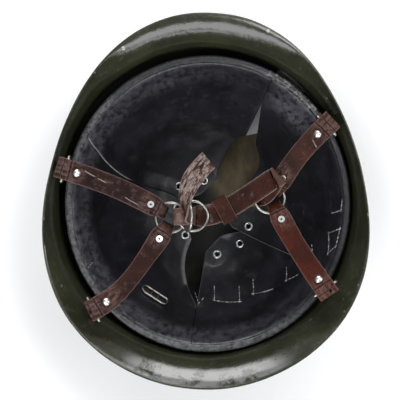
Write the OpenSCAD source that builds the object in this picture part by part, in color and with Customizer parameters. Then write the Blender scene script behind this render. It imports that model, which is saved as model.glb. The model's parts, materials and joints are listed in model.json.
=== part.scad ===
// Steel helmet with a leather liner and a four-point harness, lying on its crown.
// Origin: lowest point of the crown, +Z up through the opening, +Y towards the front.

/* [Shell] */
// Half the width of the rim
shell_half_w = 123.5; // [119:0.5:132]
// Half the length of the rim, front to rear
shell_half_l = 142.5; // [136:0.5:155]
// Height from the crown to the rim
shell_h = 162; // [156:1:172]
// Half the width of the bowl where its wall stands upright
bowl_half_w = 114; // [113:0.5:116]
// Half the length of the bowl at the same height
bowl_half_l = 119.5; // [118:0.5:123]
// Height of the flared brim, from the upright wall up to the rim
flare_h = 52; // [48:1:58]
// Thickness of the steel
steel_t = 1.2; // [0.9:0.1:1.4]
// How suddenly the brim flares at the sides
flare_power = 2.2; // [1.5:0.1:2.4]
// How suddenly the brim flares at the front and the rear
end_flare_power = 4; // [2:0.2:4.4]
// How much the rim narrows towards the front
egg_taper = 0.15; // [0.08:0.01:0.18]

/* [Liner] */
// Room between the bowl's wall and the liner's edge at the sides
liner_room_w = 3.5; // [3:0.5:5]
// The same room at the front and the rear
liner_room_l = 4.7; // [3.5:0.2:7.5]
// Distance from the rim down to the liner's edge
liner_drop = 28; // [24:1:34]
// Depth of the liner's bowl below its edge
liner_depth = 90; // [70:1:96]
// Radius of the rolled leather edge
roll_r = 2; // [1.6:0.1:2.4]
// Thickness of the tongue leather
tongue_t = 1.6; // [1.2:0.1:2]
// Seam between the right and the front tongue, in degrees from the right
front_right_seam = 61.8; // [58:0.2:66]
// Seam between the front and the left tongue
front_left_seam = 150.6; // [146:0.2:155]
// Seam between the left and the rear tongue
rear_left_seam = 263; // [258:1:268]
// Seam between the rear and the right tongue
rear_right_seam = 331; // [326:1:336]
// Gap between two neighbouring tongues
tongue_gap = 1.2; // [0.8:0.1:3]
// Height of the steel hoop that carries the liner
band_h = 26; // [20:1:28]
// Thickness of the steel hoop
band_t = 1; // [0.8:0.1:1.2]
// Outer radius of an eyelet
eyelet_r = 3.9; // [3.4:0.1:4.4]

/* [Harness] */
// Width of the harness straps
strap_w = 16; // [14:0.5:17]
// Thickness of the harness leather
strap_t = 2; // [1.6:0.1:2.2]
// Height of the anchor ring bars over the rim
bar_rise = 1; // [1:0.5:3]
// Drop from the anchor bars to the junction rings
harness_drop = 18; // [14:1:18]
// Radius of the harness rings to the middle of their wire
ring_r = 11.3; // [10.8:0.1:11.6]
// Radius of the ring wire
wire_r = 1.1; // [0.9:0.05:1.15]
// Half the width of an anchor ring to the middle of its wire
anchor_half_w = 10; // [9.6:0.1:11]
// Radius of a strap rivet's dome
dome_r = 3.3; // [2.6:0.1:3.6]
// Length of the keeper along the strap
keeper_l = 11.5; // [9:0.5:13]

/* [Fasteners] */
// Shank radius of the rivets that hold the liner in the shell
shank_r = 2; // [1.6:0.1:2.4]
// Head radius of those rivets
head_r = 5.5; // [4.5:0.1:6.5]
// Clearance of a shank in its hole
hole_clear = 0.2; // [0.1:0.05:0.3]

/* [Hidden] */
seat_gap = 0.3;
around = 72;
waist_h = shell_h - flare_h;
liner_half_w = bowl_half_w - liner_room_w;
liner_half_l = bowl_half_l - liner_room_l;

function unit(v) = v / norm(v);
function polar(a) = [cos(a), sin(a), 0];
function mix(a, b, t) = a + (b - a) * t;

// Steel shell.
// The rim outline is an egg: an ellipse whose width changes along its length.
egg_mid = 0.99;
egg_round = 0.06;
egg_shoulder = 0.1;
dome_power = 2.1;
crown_rings = 9;
flare_rings = 8;
function egg(t) = let(u = sin(t))
    [shell_half_w * cos(t) * (egg_mid - egg_taper * u + egg_round * u * u + egg_shoulder * pow(u, 3)),
     shell_half_l * u];
function bowl(t) = [bowl_half_w * cos(t), bowl_half_l * sin(t)];
// Outline of the shell's outside at height z, t degrees round.
function settle(x) = let(c = clamp01(x)) c * c * (3 - 2 * c);
function power_at(t) = mix(flare_power, end_flare_power, settle((abs(sin(t)) - 0.68) / 0.22));
function flare(t, z) = z <= waist_h ? 0 : pow((z - waist_h) / (shell_h - waist_h), power_at(t));
function dome(z) = z >= waist_h ? 1 : pow(1 - pow(1 - z / waist_h, dome_power), 1 / dome_power);
function skin(t, z) = mix(bowl(t) * dome(z), egg(t), flare(t, z));
function inner_skin(t, z) = skin(t, z) - steel_t * unit(skin(t, z));
// Heights of the rings, closer together where the crown turns.
heights = concat([for (i = [1:crown_rings]) waist_h * (1 - cos(90 * i / crown_rings))],
    [for (i = [1:flare_rings]) mix(waist_h, shell_h, i / flare_rings)]);
// One ring of the outside, and of the inside a wall's thickness away along the normal.
function slope(t, z) = let(e = 0.4, lo = max(z - e, 0.05), hi = min(z + e, shell_h))
    (norm(skin(t, hi)) - norm(skin(t, lo))) / (hi - lo);
function outer_ring(z) = [for (i = [0:around - 1]) let(p = skin(360 * i / around, z)) [p[0], p[1], z]];
function inner_ring(z) = [for (i = [0:around - 1])
    let(t = 360 * i / around, k = slope(t, z), p = skin(t, z), n = sqrt(1 + k * k), rim = z > shell_h - 0.01)
    let(q = p - unit(p) * (rim ? steel_t * n : steel_t / n))
    [q[0], q[1], rim ? z : z + steel_t * k / n]];
// Triangles between ring a and ring b of n points each; flip turns them over.
function wall_faces(a, b, n, flip = false) = [for (i = [0:n - 1]) let(j = (i + 1) % n)
    each flip ? [[a + i, b + i, b + j], [a + i, b + j, a + j]]
              : [[a + i, b + j, b + i], [a + i, a + j, b + j]]];
function fan_faces(pole, a, n, flip = false) = [for (i = [0:n - 1]) let(j = (i + 1) % n)
    flip ? [pole, a + i, a + j] : [pole, a + j, a + i]];

module shell_skin() {
    m = len(heights);
    pts = concat([[0, 0, 0]], [for (z = heights) each outer_ring(z)],
        [for (z = heights) each inner_ring(z)], [[0, 0, steel_t]]);
    in0 = 1 + m * around;
    polyhedron(pts, concat(
        fan_faces(0, 1, around, true),
        [for (k = [0:m - 2]) each wall_faces(1 + k * around, 1 + (k + 1) * around, around, true)],
        wall_faces(1 + (m - 1) * around, in0 + (m - 1) * around, around, true),
        [for (k = [0:m - 2]) each wall_faces(in0 + k * around, in0 + (k + 1) * around, around)],
        fan_faces(in0 + m * around, in0, around)));
}

// Straps and anchors in the order front left, rear left, front right, rear right.
// Each strap in plan is a bent curve from its outer end towards a junction ring.
ring_centres = [[-27, -12.7], [48.8, 2]];
// Distance of each strap's outer end from the line through the rim's widest point,
// and from the line through the front or the rear end of the bowl.
rim_inset = [10.9, 34.5, 27.7, 30];
end_inset = [93.4, 35.8, 57.7, 47.9];
strap_outer = [[rim_inset[0] - shell_half_w, bowl_half_l - end_inset[0]],
    [rim_inset[1] - shell_half_w, end_inset[1] - bowl_half_l],
    [shell_half_w - rim_inset[2], bowl_half_l - end_inset[2]],
    [shell_half_w - rim_inset[3], end_inset[3] - bowl_half_l]];
strap_bend = [[-66, 11], [-63, -71], [70, 37], [67, -33]];
strap_aim = [[0.8, 1.2], [1.3, -0.5], [1, 0], [1, 0]];
function side(i) = i < 2 ? 0 : 1;
strap_paths = [for (i = [0:3]) [strap_outer[i], strap_bend[i], ring_centres[side(i)] + strap_aim[i]]];
// Distance from a strap's outer end to its anchor bar, and from there to the rivet.
bar_in = [6.6, 4.5, 7, 6.4];
rivet_in = [9, 10.8, 8.5, 8.3];
bar_z = shell_h + bar_rise;
ring_z = bar_z - harness_drop;

// Curve that is pulled towards its middle point by the given weight.
bend_weight = 2;
function curve(p, t) = let(a = (1 - t) * (1 - t), b = 2 * bend_weight * t * (1 - t), c = t * t)
    (a * p[0] + b * p[1] + c * p[2]) / (a + b + c);
curve_steps = 32;
function run(p, n) = n == 0 ? 0 : run(p, n - 1) + norm(curve(p, n / curve_steps) - curve(p, (n - 1) / curve_steps));
runs = [for (p = strap_paths) [for (n = [0:curve_steps]) [run(p, n), n / curve_steps]]];
lengths = [for (r = runs) r[curve_steps][0]];
function on_strap(i, s) = curve(strap_paths[i], lookup(s, runs[i]));
function along(i, s) = unit(on_strap(i, min(s + 0.5, lengths[i])) - on_strap(i, max(s - 0.5, 0)));
// Where a strap meets the wire of its junction ring.
function wire_s(i, lo, hi, n = 20) = n == 0 ? (lo + hi) / 2 :
    let(m = (lo + hi) / 2)
    norm(on_strap(i, m) - ring_centres[side(i)]) > ring_r ? wire_s(i, m, hi, n - 1) : wire_s(i, lo, m, n - 1);
wire_at = [for (i = [0:3]) wire_s(i, 0, lengths[i])];
fold_reach = 7;
strap_end = [for (w = wire_at) w + fold_reach];
bars = [for (i = [0:3]) on_strap(i, bar_in[i])];
inward = [for (i = [0:3]) along(i, bar_in[i])];
reach = [for (i = [0:3]) (on_strap(i, wire_at[i]) - bars[i]) * inward[i]];
// Height of a strap's middle plane, which tilts about a line parallel to its anchor bar.
function plane_z(i, p) = bar_z - harness_drop * ((p - bars[i]) * inward[i]) / reach[i];
tilt = [for (i = [0:3]) atan(harness_drop / reach[i])];

// Ribbon through stations [centre, across, width].
module ribbon(st, t) {
    n = len(st);
    function tangent(i) = unit(st[min(i + 1, n - 1)][0] - st[max(i - 1, 0)][0]);
    pts = [for (i = [0:n - 1])
        let(c = st[i][0], a = unit(st[i][1]), up = unit(cross(tangent(i), a)) * t / 2, w = a * st[i][2] / 2)
        each [c - w - up, c + w - up, c + w + up, c - w + up]];
    last = 4 * (n - 1);
    polyhedron(pts, concat([[0, 1, 2], [0, 2, 3], [last, last + 2, last + 1], [last, last + 3, last + 2]],
        [for (i = [0:n - 2], j = [0:3]) let(a = 4 * i + j, b = 4 * i + (j + 1) % 4)
            each [[a, a + 4, b + 4], [a, b + 4, b]]]));
}

// Profile of a folded strap as [distance from the outer end, height] of the leather's middle.
lie = (strap_t + seat_gap) / 2;
bar_room = wire_r + 1.1 + strap_t / 2;
ring_room = wire_r + 1.9 + strap_t / 2;
function steps(a, b, h, n) = [for (k = [0:n]) [mix(a, b, k / n), h]];
function fold(s, r, from) = [for (k = [0:6]) [s + r * cos(from - 30 * k), r * sin(from - 30 * k)]];
function strap_profile(i) = let(b = bar_in[i], q = b + rivet_in[i], w = wire_at[i], e = strap_end[i])
    concat(steps(q + 7, q - 3.1, -lie, 2), [[q - 5, -bar_room]],
        fold(bar_room + strap_t / 2, bar_room, 270),
        [[q - 5, bar_room]], steps(q - 3.1, w - 4.4, lie, 9), [[w - 2.2, ring_room]],
        fold(e - ring_room - strap_t / 2, ring_room, 90),
        [[w - 2.2, -ring_room]], steps(w - 4.4, w - 12.5, -lie, 2));
end_w = 0.55;
function narrow(i, s) = let(e = strap_end[i] - s) strap_w * (e > 12 ? 1 : mix(end_w, 1, max(e, 0) / 12));
function strap_station(i, p) = let(c = on_strap(i, p[0]), d = along(i, p[0]), a = [d[1], -d[0]])
    [[c[0], c[1], plane_z(i, c) + p[1]], [a[0], a[1], plane_z(i, c + a) - plane_z(i, c)], narrow(i, p[0])];

outer_rivet_s = bar_in + rivet_in;
inner_rivet_s = [for (w = wire_at) w - 7.6];
rivet_shank = 1.2;
// Frame of a rivet at distance s on strap i: its axis is square to the strap's plane.
module on_leather(i, s) {
    c = on_strap(i, s);
    translate([c[0], c[1], plane_z(i, c)])
        rotate([0, 0, atan2(inward[i][1], inward[i][0])])
            rotate([0, tilt[i], 0]) children();
}

module strap(i, shade) {
    color(shade) difference() {
        ribbon([for (p = strap_profile(i)) strap_station(i, p)], strap_t);
        for (s = [outer_rivet_s[i], inner_rivet_s[i]])
            on_leather(i, s) cylinder(r = rivet_shank + hole_clear, h = 12, center = true, $fn = 24);
    }
}

module strap_rivets(i) {
    top = lie + strap_t / 2 + 0.35;
    color("silver") {
        on_leather(i, outer_rivet_s[i]) {
            cylinder(r = rivet_shank, h = 2 * top, center = true, $fn = 24);
            translate([0, 0, top]) intersection() {
                translate([0, 0, 1.9 - dome_r]) sphere(r = dome_r, $fn = 32);
                cylinder(r = dome_r, h = dome_r, $fn = 32);
            }
            translate([0, 0, -top - 0.8]) cylinder(r = 2.4, h = 0.8, $fn = 32);
        }
        on_leather(i, inner_rivet_s[i]) difference() {
            union() {
                cylinder(r = rivet_shank, h = 2 * top, center = true, $fn = 24);
                translate([0, 0, top]) cylinder(r = 2.6, h = 0.8, $fn = 32);
                translate([0, 0, -top - 0.8]) cylinder(r = 2.4, h = 0.8, $fn = 32);
            }
            translate([0, 0, top - 1.4]) cylinder(r = 0.8, h = 4, $fn = 24);
        }
    }
}

// Anchor ring: straight bar on top, round bow below, standing square to its strap.
bow_leg = 3;
bow_r = anchor_half_w;
module ring_arc(r, from, sweep) {
    rotate([0, 0, from]) rotate_extrude(angle = sweep, $fn = 48) translate([r, 0]) circle(r = wire_r, $fn = 16);
}
module at_bar(i) {
    translate([bars[i][0], bars[i][1], bar_z]) rotate([0, 0, atan2(inward[i][1], inward[i][0])]) children();
}
module anchor_ring(i) {
    corner = 2.2;
    color("gainsboro") at_bar(i) rotate([90, 0, 90]) {
        rotate([0, 90, 0]) cylinder(r = wire_r, h = 2 * (bow_r - corner), center = true, $fn = 16);
        for (m = [0, 1]) mirror([m, 0, 0]) {
            translate([bow_r - corner, -corner, 0]) ring_arc(corner, 0, 90);
            translate([bow_r, -bow_leg, 0]) rotate([-90, 0, 0])
                cylinder(r = wire_r, h = bow_leg - corner, $fn = 16);
        }
        translate([0, -bow_leg, 0]) ring_arc(bow_r, 180, 180);
    }
}

// Liner: the band, its rolled edge and four tongues.
liner_mid = [1.5, -2];
edge_z = shell_h - liner_drop;
band_gap = 0.6;
band_half = [liner_half_w - 2.8, liner_half_l - 2.8];
band_low = edge_z - roll_r - seat_gap - band_h;
function oval(half, t) = [liner_mid[0] + half[0] * cos(t), liner_mid[1] + half[1] * sin(t)];

// Closed tube whose section is turned round the liner's oval.
module oval_sweep(half, section, z) {
    n = len(section);
    pts = [for (i = [0:around - 1], q = section)
        let(t = 360 * i / around, c = oval(half, t), d = unit([half[1] * cos(t), half[0] * sin(t)]))
        [c[0] + d[0] * q[0], c[1] + d[1] * q[0], z + q[1]]];
    polyhedron(pts, [for (i = [0:around - 1], j = [0:n - 1])
        let(a = i * n + j, b = i * n + (j + 1) % n, k = ((i + 1) % around) * n,
            c = k + (j + 1) % n, d = k + j)
        each [[a, b, c], [a, c, d]]]);
}

rivet_z = waist_h;
lug_t = 1;
lug_w = 8;
// Direction, seen from the middle of the liner, in which each lug and its rivet stand.
lug_angle = [for (b = bars) atan2(b[1] - liner_mid[1], b[0] - liner_mid[0])];
function oval_t(half, a) = atan2(sin(a) / half[1], cos(a) / half[0]);
function band_out(i) = norm(oval(band_half, oval_t(band_half, lug_angle[i])) - liner_mid) + band_t / 2;
// Gap between the band and a lug, whose corners come nearer because the band curves away askew.
function askew(i) = let(t = oval_t(band_half, lug_angle[i]),
    n = [band_half[1] * cos(t), band_half[0] * sin(t)], a = lug_angle[i])
    abs(n[0] * sin(a) - n[1] * cos(a)) / (n[0] * cos(a) + n[1] * sin(a));
function lug_seat(i) = seat_gap / 2 + lug_w / 2 * askew(i);
// Distance from the middle of the liner to the inside of the shell at the rivets' height.
function wall_out(i, lo, hi, n = 28) = let(m = (lo + hi) / 2, p = liner_mid + m * [cos(lug_angle[i]), sin(lug_angle[i])])
    n == 0 ? m : norm([p[0] / (bowl_half_w - steel_t), p[1] / (bowl_half_l - steel_t)]) < 1
        ? wall_out(i, m, hi, n - 1) : wall_out(i, lo, m, n - 1);
walls = [for (i = [0:3]) wall_out(i, 0, bowl_half_w + bowl_half_l)];
module at_rivet(i, out) {
    translate([liner_mid[0], liner_mid[1], rivet_z]) rotate([0, 0, lug_angle[i]])
        translate([out, 0, 0]) rotate([0, 90, 0]) children();
}
module rivet_holes(r) {
    for (i = [0:3]) at_rivet(i, band_out(i) - 20) cylinder(r = r, h = walls[i] - band_out(i) + 40, $fn = 24);
}

module shell() {
    color("darkolivegreen") difference() {
        shell_skin();
        rivet_holes(shank_r + hole_clear);
    }
}

module shell_rivets() {
    tail_r = shank_r * 1.8;
    color("darkolivegreen") for (i = [0:3]) {
        far = walls[i] + steel_t + 2 * seat_gap;
        near = band_out(i) - band_t - seat_gap;
        at_rivet(i, near) cylinder(r = shank_r, h = far - near + 0.2, $fn = 24);
        at_rivet(i, near - 1) cylinder(r = tail_r, h = 1, $fn = 32);
        at_rivet(i, far) intersection() {
            translate([0, 0, 2.6 - 1.4 * head_r]) sphere(r = 1.4 * head_r, $fn = 48);
            cylinder(r = head_r, h = head_r, $fn = 48);
        }
    }
}

module rivet_spacers() {
    color("dimgray") for (i = [0:3]) {
        near = band_out(i) + lug_seat(i) + lug_t + seat_gap / 2;
        at_rivet(i, near) difference() {
            cylinder(r = shank_r + 2, h = walls[i] - near - 2 * seat_gap, $fn = 32);
            translate([0, 0, -1]) cylinder(r = shank_r + hole_clear, h = 40, $fn = 24);
        }
    }
}

module liner_band() {
    h = band_t / 2;
    color("dimgray") difference() {
        oval_sweep(band_half, [[-h, 0], [-h, band_h], [h, band_h], [h, 0]], band_low);
        rivet_holes(shank_r + hole_clear);
    }
}

module liner_edge_binding() {
    color("black") oval_sweep([liner_half_w - roll_r, liner_half_l - roll_r],
        [for (k = [0:7]) roll_r * [cos(-45 * k), sin(-45 * k)]], edge_z);
}

// Lug: a strip riveted to the band, bent outwards and up to an eye round the anchor ring's bow.
eye_bore = wire_r + 1.3;
eye_wall = 1.1;
eye_l = 4;
bow_low = bar_z - bow_leg - bow_r;
module lug(i) {
    out = norm(bars[i] - liner_mid);
    face = band_out(i) + lug_seat(i);
    clear = max(face, norm(oval([liner_half_w, liner_half_l], oval_t(band_half, lug_angle[i])) - liner_mid) + 0.5);
    foot = rivet_z - lug_w / 2;
    knee = edge_z - roll_r - 6;
    eye_z = bow_low - 1;
    root_z = eye_z - eye_bore - eye_wall / 2;
    half = lug_t / 2;
    line = [[face + half, foot + half], [face + half, knee], [clear + half, knee + 3],
        [clear + half, root_z - 5], [out, root_z]];
    color("gray") difference() {
        union() {
            translate([liner_mid[0], liner_mid[1], 0]) rotate([0, 0, lug_angle[i]])
                rotate([90, 0, 0]) linear_extrude(lug_w, center = true)
                    for (k = [1:len(line) - 1]) hull() {
                        translate(line[k - 1]) circle(r = half, $fn = 16);
                        translate(line[k]) circle(r = half, $fn = 16);
                    }
            translate([0, 0, eye_z - bar_z]) at_bar(i) rotate([90, 0, 0])
                cylinder(r = eye_bore + eye_wall, h = eye_l, center = true, $fn = 32);
        }
        translate([0, 0, eye_z - bar_z]) at_bar(i) rotate([90, 0, 0])
            cylinder(r = eye_bore, h = lug_w + 4, center = true, $fn = 32);
        rivet_holes(shank_r + hole_clear);
    }
}

// Tongues: curved sheets that hang from the band towards the lace circle.
lace_mid = [3.5, -12];
tongue_in = band_t / 2 + seat_gap + tongue_t;
tongue_top = [band_half[0] - tongue_in, band_half[1] - tongue_in];
sag_power = 2.5;
tip_frac = [0.16, 0.15, 0.2, 0.12];
tongue_z = edge_z - roll_r - seat_gap - 1;
function tongue_point(a, f) = let(m = mix(lace_mid, liner_mid, f))
    [m[0] + tongue_top[0] * f * cos(a), m[1] + tongue_top[1] * f * sin(a),
     tongue_z - liner_depth * (1 - pow(f, sag_power))];
function tongue_normal(a, f) = unit(cross(tongue_point(a + 1, f) - tongue_point(a - 1, f),
    tongue_point(a, min(f + 0.01, 1)) - tongue_point(a, max(f - 0.01, 0.01))));
tongue_cols = 12;
tongue_rows = 14;
// Tongue k runs from its own seam to the next. Below a seam's apex its two edges part by some degrees,
// and a corner cuts them back further: at the open notch between the right and the front tongue,
// and along the left tongue's free edge. The front tongue bulges over to the left.
seams = [front_right_seam, front_left_seam, rear_left_seam, rear_right_seam, front_right_seam + 360];
seam_apex = [0.857, 1, 0.73, 1, 0.857];
seam_bulge = [0, 8.5, 0, 0, 0];
start_draw = [2, 2, 3, 2];
end_draw = [0, 0, 6, 36];
// Corners as [degrees, fraction where they start, length].
start_corner = [[12, 0.62, 0.27], [0, 1, 1], [0, 1, 1], [0, 1, 1]];
end_corner = [[0, 1, 1], [30, 0.73, 0.73], [0, 1, 1], [10, 0.6, 0.1]];
function clamp01(x) = min(max(x, 0), 1);
function seam_at(k, f) = seams[k] + seam_bulge[k] * sin(180 * clamp01((1 - f) / 0.7));
function parting(k, f) = pow(clamp01((seam_apex[k] - f) / seam_apex[k]), 1.2);
function corner_at(row, f) = row[0] * sin(90 * clamp01((row[1] - f) / row[2]));
function tongue_edge(k, f, c) = let(gap = tongue_gap / 2 / (tongue_top[0] * f) * 180 / PI)
    mix(seam_at(k, f) + gap + start_draw[k] * parting(k, f) + corner_at(start_corner[k], f),
        seam_at(k + 1, f) - gap - end_draw[k] * parting(k + 1, f) - corner_at(end_corner[k], f), c);
function tongue_frac(k, r, c) = mix(1, tip_frac[k] + 0.1 * pow(2 * c - 1, 2), r);
module tongue(k) {
    n = tongue_cols + 1;
    m = tongue_rows + 1;
    grid = [for (r = [0:tongue_rows], c = [0:tongue_cols])
        let(f = tongue_frac(k, r / tongue_rows, c / tongue_cols)) [tongue_edge(k, f, c / tongue_cols), f]];
    top = [for (g = grid) tongue_point(g[0], g[1])];
    low = [for (g = grid) let(p = tongue_point(g[0], g[1]), v = tongue_normal(g[0], g[1])) p + v * tongue_t];
    under = len(top);
    ring = concat([for (c = [0:tongue_cols]) c], [for (r = [1:tongue_rows]) r * n + tongue_cols],
        [for (c = [tongue_cols - 1:-1:0]) tongue_rows * n + c], [for (r = [tongue_rows - 1:-1:1]) r * n]);
    color([0.07, 0.07, 0.08]) difference() {
        polyhedron(concat(top, low), concat(
            [for (r = [0:m - 2], c = [0:n - 2]) let(a = r * n + c)
                each [[a, a + 1, a + n + 1], [a, a + n + 1, a + n]]],
            [for (r = [0:m - 2], c = [0:n - 2]) let(a = under + r * n + c)
                each [[a, a + n + 1, a + 1], [a, a + n, a + n + 1]]],
            [for (j = [0:len(ring) - 1]) let(a = ring[j], b = ring[(j + 1) % len(ring)])
                each [[a, under + a, under + b], [a, under + b, b]]]));
        for (e = [0, 1]) at_eyelet(k, e) cylinder(r = eyelet_r - 1, h = 12, center = true, $fn = 24);
    }
}
// Frame on the liner's surface: z out of the leather, x down the slope, y round the bowl.
module at_liner(a, f) {
    v = -tongue_normal(a, f);
    translate(tongue_point(a, f)) rotate([0, acos(v[2]), atan2(v[1], v[0])]) children();
}
// Eyelets as [direction, fraction of the way out] for each tongue.
eyelet_at = [[[99.3, 0.245], [141, 0.306]], [[172.5, 0.253], [223, 0.256]],
    [[281.6, 0.335], [315.1, 0.35]], [[340, 0.335], [377.5, 0.285]]];
module at_eyelet(k, e) {
    at_liner(eyelet_at[k][e][0], eyelet_at[k][e][1]) children();
}
module tongue_eyelets() {
    bore = eyelet_r - 1.9;
    color("silver") for (k = [0:3], e = [0, 1]) at_eyelet(k, e) difference() {
        union() {
            translate([0, 0, 0.45]) cylinder(r = eyelet_r, h = 0.7, $fn = 32);
            translate([0, 0, -tongue_t - 0.3]) cylinder(r = eyelet_r - 1.3, h = tongue_t + 1, $fn = 32);
        }
        cylinder(r = bore, h = 12, center = true, $fn = 24);
    }
}

// Crossed stitches along the seam of the sweatband, at the rear and the right.
stitch_r = 0.45;
stitch_l = 8;
stitches = [[283, 0.66], [306, 0.66], [322, 0.72], [334, 0.8], [345, 0.87], [357, 0.9]];
module liner_stitches() {
    color("dimgray") for (p = stitches) at_liner(p[0], p[1]) translate([0, 0, stitch_r + seat_gap])
        for (turn = [35, -35]) rotate([90, 0, turn]) cylinder(r = stitch_r, h = stitch_l, center = true, $fn = 12);
}

// Bent-wire spring clip that lies in the seam between the left and the rear tongue.
clip_wire = 0.9;
clip_r = 4.2;
clip_l = 15;
module spring_clip() {
    color("silver") at_liner(238, 0.78) translate([0, 0, clip_wire + seat_gap + 0.7]) {
        for (m = [0, 1]) mirror([0, m, 0]) translate([0, clip_l / 2, 0])
            rotate_extrude(angle = 180, $fn = 32) translate([clip_r, 0]) circle(r = clip_wire, $fn = 16);
        for (x = [-clip_r, clip_r]) translate([x, 0, 0])
            rotate([90, 0, 0]) cylinder(r = clip_wire, h = clip_l, center = true, $fn = 16);
        for (y = [-3, 3]) translate([0, y, clip_wire / 2])
            rotate([0, 90, 0]) cylinder(r = clip_wire / 2, h = 2 * clip_r, center = true, $fn = 16);
    }
}

// Junction rings, buckle and chin strap.
module flat_ring(c, z) {
    translate([c[0], c[1], z]) rotate_extrude($fn = 64) translate([ring_r, 0]) circle(r = wire_r, $fn = 16);
}
loop_t = 1.8;
loop_w = 13;
// Where the wires lie in the buckle loop.
loop_x = ring_centres[0][0] + ring_r - 1.9;
buckle_rise = 5;
flat_mid = [loop_x - 3.7 + ring_r, ring_centres[0][1] + 1.2];
upright_foot = [loop_x + 0.7, flat_mid[1]];
upright_lean = 74;
module buckle_loop() {
    left = loop_x - 5.2;
    right = upright_foot[0] + wire_r + seat_gap + 1.5;
    low = ring_z - wire_r - seat_gap - 1.2;
    high = ring_z + buckle_rise + wire_r + 4.1;
    r = (right - left) / 2;
    mid = (left + right) / 2;
    module band(grow) {
        for (z = [low + r, high - r]) translate([mid, z]) circle(r = r + grow, $fn = 48);
        translate([mid - r - grow, low + r]) square([2 * (r + grow), high - low - 2 * r]);
    }
    color([0.45, 0.33, 0.32]) translate([0, ring_centres[0][1] + 0.8, 0]) rotate([90, 0, 0])
        linear_extrude(loop_w, center = true) difference() {
            band(loop_t);
            band(0);
        }
}
module upright_buckle_ring() {
    color("gainsboro") translate([upright_foot[0], upright_foot[1], ring_z + buckle_rise])
        rotate([0, -upright_lean, 0]) translate([ring_r, 0, 0]) rotate_extrude($fn = 64)
            translate([ring_r, 0]) circle(r = wire_r, $fn = 16);
}

// Chin strap: free end in the keeper, round the right junction ring, back over itself,
// through the keeper and the buckle, and out as the worn tail.
chin_path = [[54, 19], [10.8, -11.3], [-6, -11.3]];
chin_runs = [for (n = [0:curve_steps]) [run(chin_path, n), n / curve_steps]];
chin_len = chin_runs[curve_steps][0];
function on_chin(s) = curve(chin_path, lookup(s, chin_runs));
chin_rest = buckle_rise - wire_r - seat_gap - strap_t / 2;
low_rest = chin_rest - strap_t - seat_gap;
function chin_station(s, h, w = strap_w) = let(c = on_chin(s),
    d = unit(on_chin(min(s + 0.5, chin_len)) - on_chin(max(s - 0.5, 0))))
    [[c[0], c[1], ring_z + h], [d[1], -d[0], 0], w];
function free_station(p) = [[p[0], p[1], ring_z + p[2]], [sin(p[3]), -cos(p[3]), p[5]], p[4]];
// Stations [x, y, height over the ring, direction, width, tilt] towards and through the ring.
keeper_s = chin_len - 21;
chin_end = [for (k = [9, 4, -1, -6, -10]) [keeper_s + k, low_rest]];
chin_fold = [[27.4, 1.2, low_rest - 0.6, 22, 15, 0], [31, 1.8, -1.6, 12, 14, 0],
    [34.4, 2, -ring_room, 5, 12.5, 0], [37.8, 2.1, -ring_room, 4, 12, 0], [40.4, 2.1, -ring_room + 0.5, 4, 12, 0],
    [41.9, 2.1, -ring_room + 1.8, 4, 12, 0], [42.3, 2.1, -0.2, 4, 12, 0], [42.3, 2.2, 1.4, 6, 12, 0],
    [42.6, 2.4, 3.6, 16, 12.5, 0], [43.6, 3.2, 5.8, 30, 13, 0], [46, 5.6, 7.6, 44, 14, 0],
    [48.6, 9.8, 8.4, 52, 15, 0], [51, 14, 8.8, 52, 16, 0]];
chin_turn = [for (k = [0:5]) [53 + 1.8 * sin(36 * k), 17.6 + 1.5 * sin(36 * k), 10.4 - 1.6 * cos(36 * k),
    mix(50, 36, k / 5), 16, 0]];
chin_back = [[5, 11.8], [12, 11.2], [19, 9.4], [25, 6.4], [29.5, 3.6], [33, chin_rest], [38, chin_rest],
    [43, chin_rest], [48, chin_rest], [54, chin_rest], [60, chin_rest], [chin_len, chin_rest]];
tail = [[[-8.6, -11.2, 2.7], [0, -1, 0], 14.5], [[-10.2, -11.2, 3.7], [0, -1, 0], 13],
    [[-10.9, -11.3, 6], [0, -1, 0], 12.5], [[-11, -11.6, 10], [0, -1, 0], 12.5],
    [[-12.6, -11.6, 13.5], [0.1, -1, 0.1], 12.5], [[-15.8, -10, 16.6], [0.2, -1, 0.2], 13],
    [[-17.8, -5.5, 20], [0.3, -0.95, 0.2], 13.5], [[-18.8, 0.8, 22.8], [0.55, -0.83, 0.1], 14],
    [[-17, 7, 24.6], [0.8, -0.6, 0], 15], [[-13.5, 14, 25.6], [0.86, -0.5, 0], 16],
    [[-7.5, 21.5, 25.6], [0.8, -0.6, -0.1], 16], [[-2, 27, 25], [0.72, -0.69, -0.15], 16],
    [[2.8, 31, 24], [0.6, -0.8, -0.2], 16]];
module chin_strap() {
    stations = concat([for (p = chin_end) chin_station(p[0], p[1], 15)], [for (p = chin_fold) free_station(p)], [for (p = chin_turn) free_station(p)],
        [for (p = chin_back) chin_station(p[0], p[1])],
        [for (p = tail) [[p[0][0], p[0][1], ring_z + p[0][2]], p[1], p[2]]]);
    color([0.42, 0.2, 0.14]) ribbon(stations, strap_t);
}

// Keeper: a flat leather loop round both layers of the chin strap.
module keeper_loop() {
    c = on_chin(keeper_s);
    d = unit(on_chin(keeper_s - 6) - on_chin(keeper_s + 1));
    low = low_rest - strap_t / 2 - 0.9;
    high = chin_rest + strap_t / 2 + 1;
    wide = strap_w + 2.4;
    wall = 1.4;
    color([0.4, 0.18, 0.12]) translate([c[0], c[1], ring_z]) rotate([0, 0, atan2(d[1], d[0])])
        rotate([90, 0, 90]) linear_extrude(keeper_l, center = true) difference() {
            translate([-wide / 2 - wall, low - wall]) square([wide + 2 * wall, high - low + 2 * wall]);
            translate([-wide / 2, low]) square([wide, high - low]);
        }
}

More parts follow.
